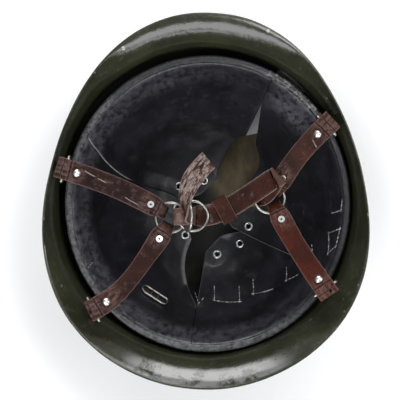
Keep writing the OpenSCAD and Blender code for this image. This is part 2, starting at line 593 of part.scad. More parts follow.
shell();
shell_rivets();
rivet_spacers();
liner_band();
liner_edge_binding();
tongue(0);  // front_tongue
tongue(1);  // left_tongue
tongue(2);  // rear_tongue
tongue(3);  // right_tongue
tongue_eyelets();
liner_stitches();
spring_clip();
lug(0);  // front_left_lug
lug(1);  // rear_left_lug
lug(2);  // front_right_lug
lug(3);  // rear_right_lug
anchor_ring(0);  // front_left_anchor_ring
anchor_ring(1);  // rear_left_anchor_ring
anchor_ring(2);  // front_right_anchor_ring
anchor_ring(3);  // rear_right_anchor_ring
strap(0, [0.4, 0.24, 0.22]);  // front_left_strap
strap(1, [0.42, 0.21, 0.16]);  // rear_left_strap
strap(2, [0.42, 0.2, 0.15]);  // front_right_strap
strap(3, [0.42, 0.18, 0.12]);  // rear_right_strap
strap_rivets(0);  // front_left_strap_rivets
strap_rivets(1);  // rear_left_strap_rivets
strap_rivets(2);  // front_right_strap_rivets
strap_rivets(3);  // rear_right_strap_rivets
color("gainsboro") flat_ring(ring_centres[0], ring_z);  // left_junction_ring
color("gainsboro") flat_ring(ring_centres[1], ring_z);  // right_junction_ring
buckle_loop();
color("gainsboro") flat_ring(flat_mid, ring_z + buckle_rise);  // flat_buckle_ring
upright_buckle_ring();
chin_strap();
keeper_loop();
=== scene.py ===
"""Looks of an upturned steel helmet with its leather liner and chin harness, and its photo stage."""
import json
from math import atan2, ceil, cos, degrees, pi, radians, sin, sqrt

import bmesh
import bpy
from bpy.props import FloatProperty, FloatVectorProperty, IntProperty, PointerProperty
from mathutils import Matrix, Vector, noise

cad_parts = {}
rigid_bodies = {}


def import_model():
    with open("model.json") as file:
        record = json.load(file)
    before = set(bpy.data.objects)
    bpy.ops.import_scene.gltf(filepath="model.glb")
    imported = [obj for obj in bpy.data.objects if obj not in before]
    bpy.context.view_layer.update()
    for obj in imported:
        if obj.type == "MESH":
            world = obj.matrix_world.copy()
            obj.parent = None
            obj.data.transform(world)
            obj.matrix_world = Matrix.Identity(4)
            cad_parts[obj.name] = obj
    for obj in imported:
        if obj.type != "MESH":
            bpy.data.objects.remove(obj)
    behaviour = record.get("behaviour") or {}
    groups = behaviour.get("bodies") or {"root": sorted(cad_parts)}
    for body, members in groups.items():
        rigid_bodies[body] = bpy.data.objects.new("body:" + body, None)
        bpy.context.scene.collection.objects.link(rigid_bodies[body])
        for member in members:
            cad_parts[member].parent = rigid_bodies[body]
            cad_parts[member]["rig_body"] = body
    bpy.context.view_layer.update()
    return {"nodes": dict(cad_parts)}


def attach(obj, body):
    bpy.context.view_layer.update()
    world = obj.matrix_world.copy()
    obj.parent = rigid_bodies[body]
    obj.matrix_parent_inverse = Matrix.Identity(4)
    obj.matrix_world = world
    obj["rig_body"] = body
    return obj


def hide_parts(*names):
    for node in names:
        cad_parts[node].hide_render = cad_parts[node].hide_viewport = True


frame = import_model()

bl_info = {
    "name": "Steel helmet looks",
    "version": (1, 0, 0),
    "blender": (4, 5, 0),
    "location": "3D View > Sidebar > Helmet",
    "description": "Builds the visible surfaces and the stage of a steel helmet",
    "category": "Object",
}

MM = 0.001

# Sizes in millimetres and angles in degrees, the same as in the part's source.
SHELL_W, SHELL_L, SHELL_H = 123.5, 142.5, 162.0
BOWL_W, BOWL_L, WAIST = 114.0, 119.5, 110.0
STEEL, FLARE_POWER, END_FLARE_POWER, DOME_POWER = 1.2, 2.2, 4.0, 2.1
LINER_W, LINER_L = 110.5, 114.8
EDGE_Z, DEPTH, ROLL = 134.0, 90.0, 2.0
LEATHER, GAP = 1.6, 1.2
MIDDLE, LACE = Vector((1.5, -2.0)), Vector((3.5, -12.0))
INSET = 2.8 + 0.5 + 0.3 + LEATHER
TOP_W, TOP_L = LINER_W - INSET, LINER_L - INSET
TONGUE_Z, SAG = EDGE_Z - ROLL - 0.3 - 1.0, 2.5
TIPS = (0.16, 0.15, 0.2, 0.12)  # how far out from the middle each tongue's tip lies, as a fraction
# Seams between the tongues, the fraction out at which each opens, and its sideways bend in degrees.
SEAMS, APEX, BULGE = (61.8, 150.6, 263.0, 331.0, 421.8), (0.857, 1, 0.73, 1, 0.857), (0, 8.5, 0, 0, 0)
# Degrees by which each tongue's start and end edges draw back below the seams.
START_DRAW, END_DRAW = (2, 2, 3, 2), (0, 0, 6, 36)
# Cut corners at the tips, as (degrees, fraction out where the cut starts, its run).
START_CORNER = ((12, .62, .27), (0, 1, 1), (0, 1, 1), (0, 1, 1))
END_CORNER = ((0, 1, 1), (30, .73, .73), (0, 1, 1), (10, .6, .1))
PALE = ((0.12, 1.0), (0.1, 0.5), (0.2, 0.5), (0.1, 0.12))  # paleness of each tongue's start and end edge
# How far in millimetres each tongue's leather reaches past its start and end seams.
LAP_START, LAP_END = (0.4, 2.5, 0.4, 2.5), (3.2, 0.4, 2.2, 0.4)
# Two eyelets a tongue, as (direction, fraction out).
EYELETS = (((99.3, .245), (141, .306)), ((172.5, .253), (223, .256)),
           ((281.6, .335), (315.1, .35)), ((340, .335), (377.5, .285)))
TONGUES = ("front_tongue", "left_tongue", "rear_tongue", "right_tongue")

STRAP_W, STRAP_T = 16.0, 2.0
BAR_Z, DROP = SHELL_H + 1.0, 18.0
RING_Z = BAR_Z - DROP
RING_R, WIRE = 11.3, 1.1
RINGS = (Vector((-27, -12.7)), Vector((48.8, 2.0)))
CORNERS = ("front_left", "rear_left", "front_right", "rear_right")
STRAPS = [corner + "_strap" for corner in CORNERS]
# Each strap's axis in plan: its outer end, the point its bend is drawn to, its aim off the ring's centre.
OUTER = ((-112.6, 26.1), (-89, -83.7), (95.8, 61.8), (93.5, -71.6))
BENDS = ((-66, 11), (-63, -71), (70, 37), (67, -33))
AIMS = ((.8, 1.2), (1.3, -.5), (1, 0), (1, 0))
# From each outer end to the anchor bar and on to the rivet, and how much the strap's middle is narrowed.
BAR_IN, RIVET_IN = (6.6, 4.5, 7, 6.4), (9, 10.8, 8.5, 8.3)
SLIM = (0, 0.17, 0.04, 0.05)
STRAP_LIP, FRAY = 0.6, 0.12  # rounding and raggedness of the straps' cut edges
# Distance of a layer's middle from the strap's plane: lying flat, round the bar and round the ring.
LIE = (STRAP_T + 0.3) / 2
BAR_ROOM = WIRE + 1.1 + STRAP_T / 2
RING_ROOM = WIRE + 1.9 + STRAP_T / 2
BUCKLE_RISE = 5.0


def mix(a, b, t):
    return a + (b - a) * t


def clamp(x):
    return min(max(x, 0.0), 1.0)


def ease(x):
    x = clamp(x)
    return x * x * (3 - 2 * x)


def rough(p, size, seed):
    """Smooth noise between about -1 and 1 whose lumps are about that many millimetres apart."""
    return 2 * noise.noise(Vector((p[0] / size + seed, p[1] / size - seed, p[2] / size + 0.5 * seed)))


# ---- Meshes ----

def add_object(name, data):
    obj = bpy.data.objects.new(name, data)
    bpy.context.scene.collection.objects.link(obj)
    return obj


def make_object(name, points, faces, values=None, uvs=None):
    """Object at the origin from points in millimetres; values are point attributes, uvs one pair a point."""
    mesh = bpy.data.meshes.new(name)
    mesh.from_pydata([Vector(p) * MM for p in points], [], faces)
    for key, numbers in (values or {}).items():
        mesh.attributes.new(key, "FLOAT", "POINT").data.foreach_set("value", numbers)
    if uvs:
        layer = mesh.uv_layers.new(name="UVMap")
        layer.data.foreach_set("uv", [x for loop in mesh.loops for x in uvs[loop.vertex_index]])
    mesh.update()
    return add_object(name, mesh)


def coat_mesh(mesh, material, angle):
    """Smooths the mesh up to an angle in degrees and gives it its only material."""
    mesh.shade_smooth()
    mesh.set_sharp_from_angle(angle=radians(angle))
    mesh.materials.clear()
    mesh.materials.append(material)


def finish_mesh(obj, material, angle):
    """Turns the faces outwards and coats the mesh."""
    work = bmesh.new()
    work.from_mesh(obj.data)
    bmesh.ops.recalc_face_normals(work, faces=work.faces)
    work.to_mesh(obj.data)
    work.free()
    coat_mesh(obj.data, material, angle)


def bake(obj):
    """Makes the object's modifiers part of its mesh."""
    bpy.context.view_layer.update()
    seen = obj.evaluated_get(bpy.context.evaluated_depsgraph_get())
    mesh = bpy.data.meshes.new_from_object(seen)
    obj.modifiers.clear()
    old, obj.data = obj.data, mesh
    bpy.data.meshes.remove(old)


def grid_faces(rows, cols, start=0, wrap=False, close=False, flip=False):
    """Quads over rows of points: wrap joins the last column to the first, close the last row to the first."""
    faces = []
    for r in range(rows if close else rows - 1):
        here, there = start + r * cols, start + (r + 1) % rows * cols
        for c in range(cols if wrap else cols - 1):
            d = (c + 1) % cols
            quad = (here + c, here + d, there + d, there + c)
            faces.append(quad[::-1] if flip else quad)
    return faces


def gap(a, b):
    return sqrt(sum((y - x) ** 2 for x, y in zip(a[:3], b[:3])))


def smooth_line(points, step):
    """Points about a step apart on a smooth curve through the given ones; tuples of any length."""
    out = []
    for i in range(len(points) - 1):
        p0, p1 = points[max(i - 1, 0)], points[i]
        p2, p3 = points[i + 1], points[min(i + 2, len(points) - 1)]
        d0, size, d2 = max(gap(p0, p1), 1e-6), gap(p1, p2), max(gap(p2, p3), 1e-6)
        n = max(1, ceil(size / step))
        for k in range(n):
            t = k / n
            point = []
            for a, b, c, d in zip(p0, p1, p2, p3):
                m1 = (c - b) if i == 0 else size * ((b - a) / d0 * 0.5 + (c - b) / size * 0.5)
                m2 = (c - b) if i == len(points) - 2 else size * ((c - b) / size * 0.5 + (d - c) / d2 * 0.5)
                point.append((2 * t**3 - 3 * t**2 + 1) * b + (t**3 - 2 * t**2 + t) * m1
                             + (3 * t**2 - 2 * t**3) * c + (t**3 - t**2) * m2)
            out.append(tuple(point))
    out.append(tuple(points[-1]))
    return out


def ribbon_section(width, thick, lip, across=9):
    """Loop of (u, v, side) round a strap's section, u across and v up, its edges rounded."""
    x, y = width / 2 - lip, thick / 2 - lip

    def face(start, end, v):
        return [(mix(start, end, k / (across - 1)), v, 0.0) for k in range(across)]

    def edge(u, v, *angles):
        return [(u + lip * cos(radians(a)), v + lip * sin(radians(a)), 1.0) for a in angles]

    return (face(-x, x, thick / 2) + edge(x, y, 60, 30, 0) + edge(x, -y, 0, -30, -60)
            + face(x, -x, -thick / 2) + edge(-x, -y, 240, 210, 180) + edge(-x, y, 180, 150, 120))


def ribbon(name, stations, wave, seed):
    """Strap through stations (x, y, z, across x, y, z, width), uneven by about wave millimetres."""
    points, side, flesh, uvs, run = [], [], [], [], 0.0
    for i, s in enumerate(stations):
        here = Vector(s[:3])
        before = Vector(stations[max(i - 1, 0)][:3])
        after = Vector(stations[min(i + 1, len(stations) - 1)][:3])
        along, over = (after - before).normalized(), Vector(s[3:6]).normalized()
        over = (over - along * over.dot(along)).normalized()
        up = -along.cross(over)
        run += (here - before).length
        section = ribbon_section(s[6], STRAP_T, STRAP_LIP)
        for u, v, edge in section:
            p = here + over * u + up * v
            fray = edge * FRAY * rough(p, 2.2, seed)
            curl = wave * rough(here, 14, seed) * (u / s[6]) * 2 + wave * 0.6 * rough(here, 23, seed + 4)
            points.append(p + over * fray * (1 if u > 0 else -1) + up * curl)
            side.append(edge)
            flesh.append(1.0 if v < 0 else 0.0)
            uvs.append((u * MM, run * MM))
    size = len(section)
    faces = grid_faces(len(stations), size, wrap=True)
    last = (len(stations) - 1) * size
    faces += [tuple(range(size))[::-1], tuple(range(last, last + size))]
    return make_object(name, points, faces, {"side": side, "flesh": flesh}, uvs)


def boolean_holes(obj, places):
    """Cuts round holes at (matrix, radius) through the object."""
    tool = bmesh.new()
    for matrix, radius in places:
        bmesh.ops.create_cone(tool, cap_ends=True, segments=28, radius1=radius, radius2=radius,
                              depth=0.014, matrix=matrix)
    mesh = bpy.data.meshes.new("holes")
    tool.to_mesh(mesh)
    tool.free()
    cutter = add_object("holes", mesh)
    cut = obj.modifiers.new("holes", "BOOLEAN")
    cut.object, cut.operation, cut.solver = cutter, "DIFFERENCE", "EXACT"
    bake(obj)
    bpy.data.objects.remove(cutter)
    bpy.data.meshes.remove(mesh)


# ---- Materials ----

def add_node(tree, kind, settings=None, inputs=()):
    """Adds a node to a tree; its inputs, by place or by name, are fed with outputs or plain values."""
    made = tree.nodes.new(kind)
    for key, value in (settings or {}).items():
        setattr(made, key, value)
    for key, value in inputs.items() if isinstance(inputs, dict) else enumerate(inputs):
        feed(tree, made.inputs[key], value)
    return made


def feed(tree, socket, value):
    if isinstance(value, Value):
        value = value.socket
    if isinstance(value, bpy.types.NodeSocket):
        tree.links.new(value, socket)
    elif socket.type == "RGBA" and len(value) == 3:
        socket.default_value = (*value, 1.0)
    else:
        socket.default_value = value


class Value:
    """An output in a shader that takes part in ordinary arithmetic."""

    def __init__(self, shader, socket):
        self.shader, self.socket = shader, socket

    def maths(self, operation, *others):
        return self.shader.node("ShaderNodeMath", {"operation": operation}, (self, *others))

    def __add__(self, other):
        return self.maths("ADD", other)

    def __sub__(self, other):
        return self.maths("SUBTRACT", other)

    def __rsub__(self, other):
        return self.shader.node("ShaderNodeMath", {"operation": "SUBTRACT"}, (other, self))

    def __mul__(self, other):
        return self.maths("MULTIPLY", other)

    __radd__, __rmul__ = __add__, __mul__

    def either(self, other):
        return self.maths("MAXIMUM", other)

    def ramp(self, low, high):
        """Goes smoothly from 0 to 1 while this value goes from low to high."""
        settings = {"interpolation_type": "SMOOTHSTEP"}
        return self.shader.node("ShaderNodeMapRange", settings, (self, low, high, 0.0, 1.0))


class Shader:
    """A material with one principled surface, made node by node."""

    def __init__(self, name, **sockets):
        self.material = bpy.data.materials.new(name)
        self.material.use_nodes = True
        self.tree = self.material.node_tree
        self.tree.nodes.clear()
        self.surface = add_node(self.tree, "ShaderNodeBsdfPrincipled")
        add_node(self.tree, "ShaderNodeOutputMaterial", inputs=(self.surface.outputs[0],))
        self.set(**sockets)
        self.here = self.node("ShaderNodeTexCoord", out="Object")

    def node(self, kind, settings=None, inputs=(), out=0):
        return Value(self, add_node(self.tree, kind, settings, inputs).outputs[out])

    def set(self, **sockets):
        for key, value in sockets.items():
            feed(self.tree, self.surface.inputs[key.replace("_", " ")], value)

    def noise(self, size, detail=3.0, roughness=0.5, where=None, stretch=None):
        """Noise whose lumps are about size millimetres apart, from 0 to 1."""
        where = where or self.here
        if stretch:
            where = self.node("ShaderNodeMapping", inputs={0: where, 3: stretch})
        inputs = {"Vector": where, "Scale": 1 / (size * MM), "Detail": detail, "Roughness": roughness}
        return self.node("ShaderNodeTexNoise", inputs=inputs)

    def cells(self, size, feature="F1"):
        """Distance to the middles or, by feature, the edges of cells about size millimetres wide."""
        inputs = {"Vector": self.here, "Scale": 1 / (size * MM)}
        return self.node("ShaderNodeTexVoronoi", {"feature": feature}, inputs)

    def blend(self, factor, a, b):
        return self.node("ShaderNodeMix", {"data_type": "RGBA"}, {0: factor, 6: a, 7: b}, out=2)

    def layers(self, colour, *rows):
        """Lays colours over a first one, each as (how much it covers, colour)."""
        for cover, over in rows:
            colour = self.blend(cover, colour, over)
        return colour

    def attribute(self, name):
        return self.node("ShaderNodeAttribute", {"attribute_name": name}, out="Fac")

    def axis(self, which):
        """Object coordinate in millimetres."""
        return self.node("ShaderNodeSeparateXYZ", inputs=(self.here,), out=which) * (1 / MM)

    def distance(self, x, y, z=None):
        """Distance in millimetres from a point, or from an upright line if z is left out."""
        flat = (1, 1, 0 if z is None else 1)
        spot = [c * MM * f for c, f in zip((x, y, z or 0), flat)]
        where = self.node("ShaderNodeVectorMath", {"operation": "MULTIPLY"}, (self.here, flat))
        inputs = (where, spot)
        return self.node("ShaderNodeVectorMath", {"operation": "DISTANCE"}, inputs, out="Value") * (1 / MM)

    def mark(self, x0, y0, x1, y1, wide):
        """Narrow wandering line between two points in millimetres, seen from above."""
        length = sqrt((x1 - x0) ** 2 + (y1 - y0) ** 2)
        dx, dy = (x1 - x0) / length, (y1 - y0) / length
        x, y = self.axis(0) - x0, self.axis(1) - y0
        off = (y * dx - x * dy + self.noise(5, 3) * 2 - 1).maths("ABSOLUTE")
        along = x * dx + y * dy
        return off.ramp(wide, wide * 0.4) * along.ramp(0, 1.5) * along.ramp(length, length - 2)

    def bump(self, height, depth, over=None):
        """Normal with a relief of that depth in millimetres, on top of another one."""
        inputs = {"Height": height, "Distance": depth * MM, "Strength": 1.0}
        if over:
            inputs["Normal"] = over
        return self.node("ShaderNodeBump", inputs=inputs)


def shade(colour, factor):
    return [c * factor for c in colour]


def olive_paint(look):
    """Semi-gloss olive paint with chips down to the primer and dust; deep in the bowl painted shade, khaki
    and a white area, and a painted highlight inside the rear brim.
    """
    s = Shader("olive_paint", Specular_IOR_Level=0.85)
    x, y, z = s.axis(0), s.axis(1), s.axis(2)
    inside = s.attribute("inside")
    broad, mottle, grit = s.noise(38, 3), s.noise(5.5, 5, 0.62), s.noise(1.7, 4, 0.7)
    creases = s.noise(9, 4, 0.6, stretch=(1, 0.35, 1))

    # Deep inside the bowl the paint is matt and darkened to near black as painted shade, with a khaki area
    # and a plain white area high up at the front right.
    deep_shade = z.ramp(121, 112) * inside
    khaki_area = deep_shade * s.distance(38, 47).ramp(57, 42)
    khaki = s.blend(creases.ramp(0.35, 0.65), (0.098, 0.071, 0.033), (0.185, 0.142, 0.068))
    glimpse = s.distance(-11, -60).ramp(13, 5) * deep_shade
    olive = s.blend(creases.ramp(0.3, 0.7), (0.05, 0.052, 0.018), (0.018, 0.018, 0.012))
    white_area = (y - x * 0.18).ramp(49.2, 49.8) * deep_shade * s.distance(44, 75).ramp(36, 34)
    white = s.blend((x - y * 0.47).ramp(7.9, 9.1), (0.02, 0.02, 0.023), (0.97, 0.96, 0.99))

    # Painted highlight inside the rear brim, in blotches like chalky, rubbed paint.
    band = z.ramp(151.5, 155.5) * z.ramp(161.9, 161.2) * inside
    band = band * y.ramp(-112, -122) * x.maths("ABSOLUTE").ramp(72, 52)
    chalk_highlight = band * s.noise(12, 6, 0.7).ramp(0.40, 0.50)

    # Rubbed rim and scattered chips.
    worn = grit.ramp(0.55, 0.63) * z.ramp(159.6, 161.6) * broad.ramp(0.40, 0.62)
    specks = s.cells(16).ramp(0.085, 0.055) * s.noise(30, 1).ramp(0.52, 0.6) * z.ramp(108, 122)
    chips = worn.either(specks)
    for px, py, size in ((-62.6, 115.4, 1.7), (46.7, 128.2, 1.9), (-84, 97, 0.9), (92, 78, 0.8)):
        chips = chips.either(s.distance(px, py).ramp(size, size * 0.6))
    primer = s.blend(grit.ramp(0.4, 0.6), (0.30, 0.29, 0.27), (0.12, 0.10, 0.085))
    scuffs = s.noise(22, 6, 0.7, stretch=(1, 1, 0.4)).ramp(0.52, 0.7) * (1 - inside)

    # The near-black layer deep in the bowl is painted shade, and the pale blotches inside the rear brim are a
    # painted highlight.
    colour = s.layers(
        s.blend(broad.ramp(0.35, 0.68), look.paint, shade(look.paint, 1.5)),
        (mottle.ramp(0.52, 0.72) * 0.35, (0.075, 0.078, 0.055)), (deep_shade, (0.009, 0.0095, 0.007)),
        (khaki_area, khaki), (glimpse, olive), (white_area, white), (chalk_highlight * 0.7, (0.26, 0.26, 0.255)),
        (chips, primer), (scuffs * 0.25, (0.13, 0.13, 0.105)))
    gloss = 0.10 + 0.12 * mottle + 0.15 * scuffs
    s.set(Base_Color=colour, Roughness=gloss + (0.75 - gloss) * deep_shade, Metallic=chips * 0.35)
    peel = s.bump(s.noise(2.6, 2, 0.5), 0.05)
    dented = s.bump(s.noise(11, 4, 0.6), 0.22, over=s.bump(s.noise(30, 2), 0.5, over=peel))
    cloth = s.bump(creases * deep_shade, 0.9, over=dented)
    s.set(Normal=s.bump(1 - chips, 0.06, over=cloth))
    return s.material


def black_leather(look):
    """Glossy black leather with fine grain, soft creases, scuffs on its cut edges, and a painted sheen below
    its rolled edge.
    """
    s = Shader("black_leather", Specular_IOR_Level=0.55, Coat_Roughness=0.22)
    edge = s.attribute("edge")
    cloud = s.noise(34, 4, 0.6)
    dull = s.noise(9, 5, 0.65).ramp(0.5, 0.72)
    scratches = s.noise(2.2, 6, 0.75, stretch=(1, 0.16, 1)).ramp(0.62, 0.72) * cloud.ramp(0.45, 0.6)
    # Painted sheen, as strong as the liner's sheen attribute, broken up by noise.
    sheen = s.attribute("sheen") * s.noise(4.5, 5, 0.7, stretch=(1, 1, 0.4)).ramp(0.33, 0.62)
    worn = edge * s.noise(1.1, 3, 0.6).ramp(0.2, 0.5)
    colour = s.layers(
        s.blend(cloud.ramp(0.38, 0.66), look.leather, shade(look.leather, 2.0)),
        (dull * 0.5, (0.033, 0.033, 0.041)), (scratches * 0.5, (0.11, 0.11, 0.12)),
        (sheen * 0.8, (0.135, 0.135, 0.155)), (worn, (0.42, 0.41, 0.43)))
    s.set(Base_Color=colour, Coat_Weight=cloud.ramp(0.3, 0.7) * 0.35 * (1 - edge),
          Roughness=0.33 + 0.16 * dull + 0.10 * scratches + 0.25 * worn)
    creased = s.bump(s.noise(7, 4, 0.55), 0.22, over=s.bump(s.cells(1.3), 0.05))
    s.set(Normal=s.bump(s.noise(21, 2, 0.5), 0.9, over=creased))
    return s.material


def binding_leather(look):
    """The same leather where it is rolled over the band's edge: glossier, scuffed and cracked, with a painted
    sheen towards the left, the rear and the front left.
    """
    s = Shader("binding_leather", Specular_IOR_Level=0.6, Coat_Roughness=0.18, Coat_Weight=0.4)
    x, y = s.axis(0), s.axis(1)
    rub = s.noise(3.2, 5, 0.7)
    # Painted sheen towards the left and the rear, and in a spot at the front left.
    turned = x.ramp(-40, -104).either(y.ramp(-60, -112)) * 0.8
    turned = turned.either(s.distance(-86, 63).ramp(27, 15))
    frayed = rub.ramp(0.5, 0.62) * s.distance(73, 79).ramp(38, 24)
    colour = s.layers(look.leather, (rub.ramp(0.48, 0.72) * 0.45, (0.10, 0.10, 0.108)),
                      (rub.ramp(0.36, 0.6) * turned, (0.13, 0.13, 0.14)), (frayed, (0.33, 0.32, 0.31)))
    s.set(Base_Color=colour, Roughness=0.30 + 0.22 * rub + 0.3 * frayed)
    cracks = s.cells(2.4, "DISTANCE_TO_EDGE").ramp(0.09, 0.02)
    s.set(Normal=s.bump(cracks, 0.12, over=s.bump(rub, 0.35)))
    return s.material


def brown_leather(name, tint, wear, pale, centres=(), scars=(), creases=(), cut_edge=1.15):
    """Old reddish-brown leather: crackled grain, pale cut edges, a fleshy underside, rubbed places, and
    painted shade in its creases with a painted highlight beside each.
    """
    s = Shader(name, Specular_IOR_Level=0.16)
    side, flesh = s.attribute("side"), s.attribute("flesh")
    cloud, fine = s.noise(17, 4, 0.6), s.noise(0.9, 4, 0.7)
    crackle = s.cells(2.1, "DISTANCE_TO_EDGE").ramp(0.11, 0.02)
    strip = s.node("ShaderNodeTexCoord", out="UV")
    border = s.node("ShaderNodeSeparateXYZ", inputs=(strip,), out=0).maths("ABSOLUTE").ramp(0.0058, 0.0076)
    rubbed = s.noise(6, 6, 0.72).ramp(0.60 - 0.22 * wear, 0.78 - 0.18 * wear)
    rubbed = rubbed.either(border * fine.ramp(0.35, 0.62) * 0.5)
    streaks = s.noise(2.4, 5, 0.7, where=strip, stretch=(1, 0.28, 1)).ramp(0.40, 0.60)
    rows = [(rubbed * (0.18 + 0.6 * wear), pale)]
    for cx, cy, size in centres:
        rows.append((s.distance(cx, cy).ramp(size * 1.5, size * 0.6) * streaks * 0.62, pale))
    rows.append((crackle * 0.45, shade(tint, 0.35)))
    for scar in scars:
        rows.append((s.mark(*scar, 0.55) * 0.65, (0.40, 0.31, 0.29)))
    folds = None
    # Each crease gets painted shade along its fold and a pale painted highlight beside it.
    for *ends, wide in creases:
        fold, lit = s.mark(*ends, wide), s.mark(*ends, wide * 2.4)
        rows.append((fold * 0.7, shade(tint, 0.25)))
        rows.append(((lit - fold) * s.noise(1.6, 4, 0.7).ramp(0.4, 0.6) * 0.55, pale))
        folds = fold if folds is None else folds.either(fold)
    rows.append((flesh * 0.55, (0.13, 0.07, 0.055)))
    rows.append((side * (0.35 + 0.45 * fine), [min(1, c) for c in shade(pale, cut_edge)]))
    base = s.blend(cloud.ramp(0.36, 0.66), shade(tint, 0.72), shade(tint, 1.35))
    s.set(Base_Color=s.layers(base, *rows), Roughness=0.42 + 0.22 * cloud + 0.2 * side)
    grain = s.bump(fine, 0.05, over=s.bump(crackle, -0.06))
    grain = grain if folds is None else s.bump(1 - folds, 0.8, over=grain)
    s.set(Normal=s.bump(s.noise(5.5, 4, 0.6), 0.35, over=grain))
    return s.material


def plated_steel(name, colour, roughness, patina):
    """Plated steel that has dulled, with darker stains and a few rust freckles."""
    s = Shader(name, Specular_IOR_Level=0.5)
    stain = s.noise(3.5, 5, 0.65)
    rust = s.noise(1.6, 4, 0.7).ramp(0.66, 0.74) * patina
    tone = s.layers(colour, (stain.ramp(0.42, 0.7) * patina, shade(colour, 0.42)),
                    (rust, (0.10, 0.05, 0.025)))
    s.set(Base_Color=tone, Metallic=1 - 0.8 * rust,
          Roughness=roughness + 0.25 * stain * patina + 0.3 * rust)
    s.set(Normal=s.bump(s.noise(0.8, 3, 0.6), 0.02))
    return s.material


def dark_steel():
    """Painted, rubbed steel of the hidden hoop, lugs and spacers."""
    s = Shader("liner_steel", Specular_IOR_Level=0.45)
    rub = s.noise(4, 5, 0.7)
    s.set(Base_Color=s.blend(rub.ramp(0.5, 0.72), (0.018, 0.018, 0.016), (0.07, 0.068, 0.06)),
          Roughness=0.5 + 0.2 * rub, Metallic=rub.ramp(0.55, 0.75) * 0.6)
    s.set(Normal=s.bump(rub, 0.06))
    return s.material


def thread():
    """Twisted linen thread, grey with handling."""
    s = Shader("dark_thread", Specular_IOR_Level=0.3, Roughness=0.8)
    s.set(Base_Color=s.blend(s.noise(4, 2).ramp(0.35, 0.65), (0.17, 0.17, 0.175), (0.50, 0.49, 0.50)),
          Normal=s.bump(s.noise(0.5, 3, 0.7), 0.08))
    return s.material


# ---- Shell ----

def egg(t):
    """The rim's outline in plan, narrower towards the front."""
    u = sin(t)
    return Vector((SHELL_W * cos(t) * (0.99 - 0.15 * u + 0.06 * u * u + 0.1 * u**3), SHELL_L * u))


def flare(t, z):
    """How far the brim has turned out at that height, from 0 to 1, later at the two ends."""
    power = mix(FLARE_POWER, END_FLARE_POWER, ease((abs(sin(t)) - 0.68) / 0.22))
    return 0.0 if z <= WAIST else ((z - WAIST) / (SHELL_H - WAIST)) ** power


def dome(z):
    return 1.0 if z >= WAIST else max(1 - (1 - z / WAIST) ** DOME_POWER, 0) ** (1 / DOME_POWER)


def skin(t, z):
    bowl = Vector((BOWL_W * cos(t), BOWL_L * sin(t)))
    return bowl * dome(z) + (egg(t) - bowl * dome(z)) * flare(t, z)


RIM_R, BOWL_ROWS, BRIM_ROWS = 0.5, 34, 26  # rounding of the rim in millimetres, rows of faces


def shell_point(t, z, depth, dent):
    """Point on the shell's outside, or that many millimetres below its skin."""
    low, high = max(z - 0.4, 0.05), min(z + 0.4, SHELL_H)
    slope = (skin(t, high).length - skin(t, low).length) / (high - low)
    flat = skin(t, z)
    n = sqrt(1 + slope * slope)
    push = dent * rough((flat.x, flat.y, z), 34, 3.0) * ease(z / 30) - depth / n
    out = flat + flat.normalized() * push
    return (out.x, out.y, z + depth * slope / n if z < SHELL_H - 2 else min(z + depth * slope / n, SHELL_H))


class HelmetShape(bpy.types.PropertyGroup):
    dent: FloatProperty(name="Dents", description="Depth of the shell's unevenness in millimetres",
                        default=0.22, min=0, max=0.4)
    around: IntProperty(name="Shell columns", description="Columns of faces round the shell",
                        default=200, min=72, max=360)
    wrinkle: FloatProperty(name="Leather folds", default=0.9, min=0, max=2,
                           description="Height of the liner's soft folds in millimetres")
    step: FloatProperty(name="Strap step", description="Distance between strap stations in millimetres",
                        default=1.0, min=0.5, max=3)
    curl: FloatProperty(name="Strap curl", description="Unevenness of the straps in millimetres",
                        default=0.3, min=0, max=0.6)


class HelmetLook(bpy.types.PropertyGroup):
    paint: FloatVectorProperty(name="Paint", description="Olive paint of the shell", subtype="COLOR",
                               default=(0.025, 0.0265, 0.0145), min=0, max=1)
    leather: FloatVectorProperty(name="Liner leather", description="Black leather of the liner",
                                 subtype="COLOR", default=(0.0075, 0.0075, 0.0108), min=0, max=1)
    strap: FloatVectorProperty(name="Strap leather", description="Brown leather of the harness",
                               subtype="COLOR", default=(0.038, 0.0098, 0.0050), min=0, max=1)


class HelmetStage(bpy.types.PropertyGroup):
    key: FloatProperty(name="Overhead light", default=6, unit="POWER", min=0,
                       description="Power of the large light above")
    fill: FloatProperty(name="Fill light", default=9, unit="POWER", min=0,
                        description="Power of the light above the rear left")
    front: FloatProperty(name="Rear low light", default=20, unit="POWER", min=0,
                         description="Power of the low light that meets the front brim")
    rear: FloatProperty(name="Front low light", default=14, unit="POWER", min=0,
                        description="Power of the low light that meets the rear brim")
    right: FloatProperty(name="Right low light", default=5, unit="POWER", min=0,
                         description="Power of the low light that meets the left brim")
    world: FloatProperty(name="Room light", default=0.3, min=0,
                         description="Strength of the even light of the room")
    camera_z: FloatProperty(name="Camera height", default=1.262, unit="LENGTH", min=0.5,
                            description="Height of the camera over the floor")


def ride(obj, body, replaces):
    """Puts a visible piece on its body, in place of the CAD nodes it replaces."""
    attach(obj, body)
    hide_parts(*replaces)


def node_body(node):
    return frame["nodes"][node]["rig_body"]


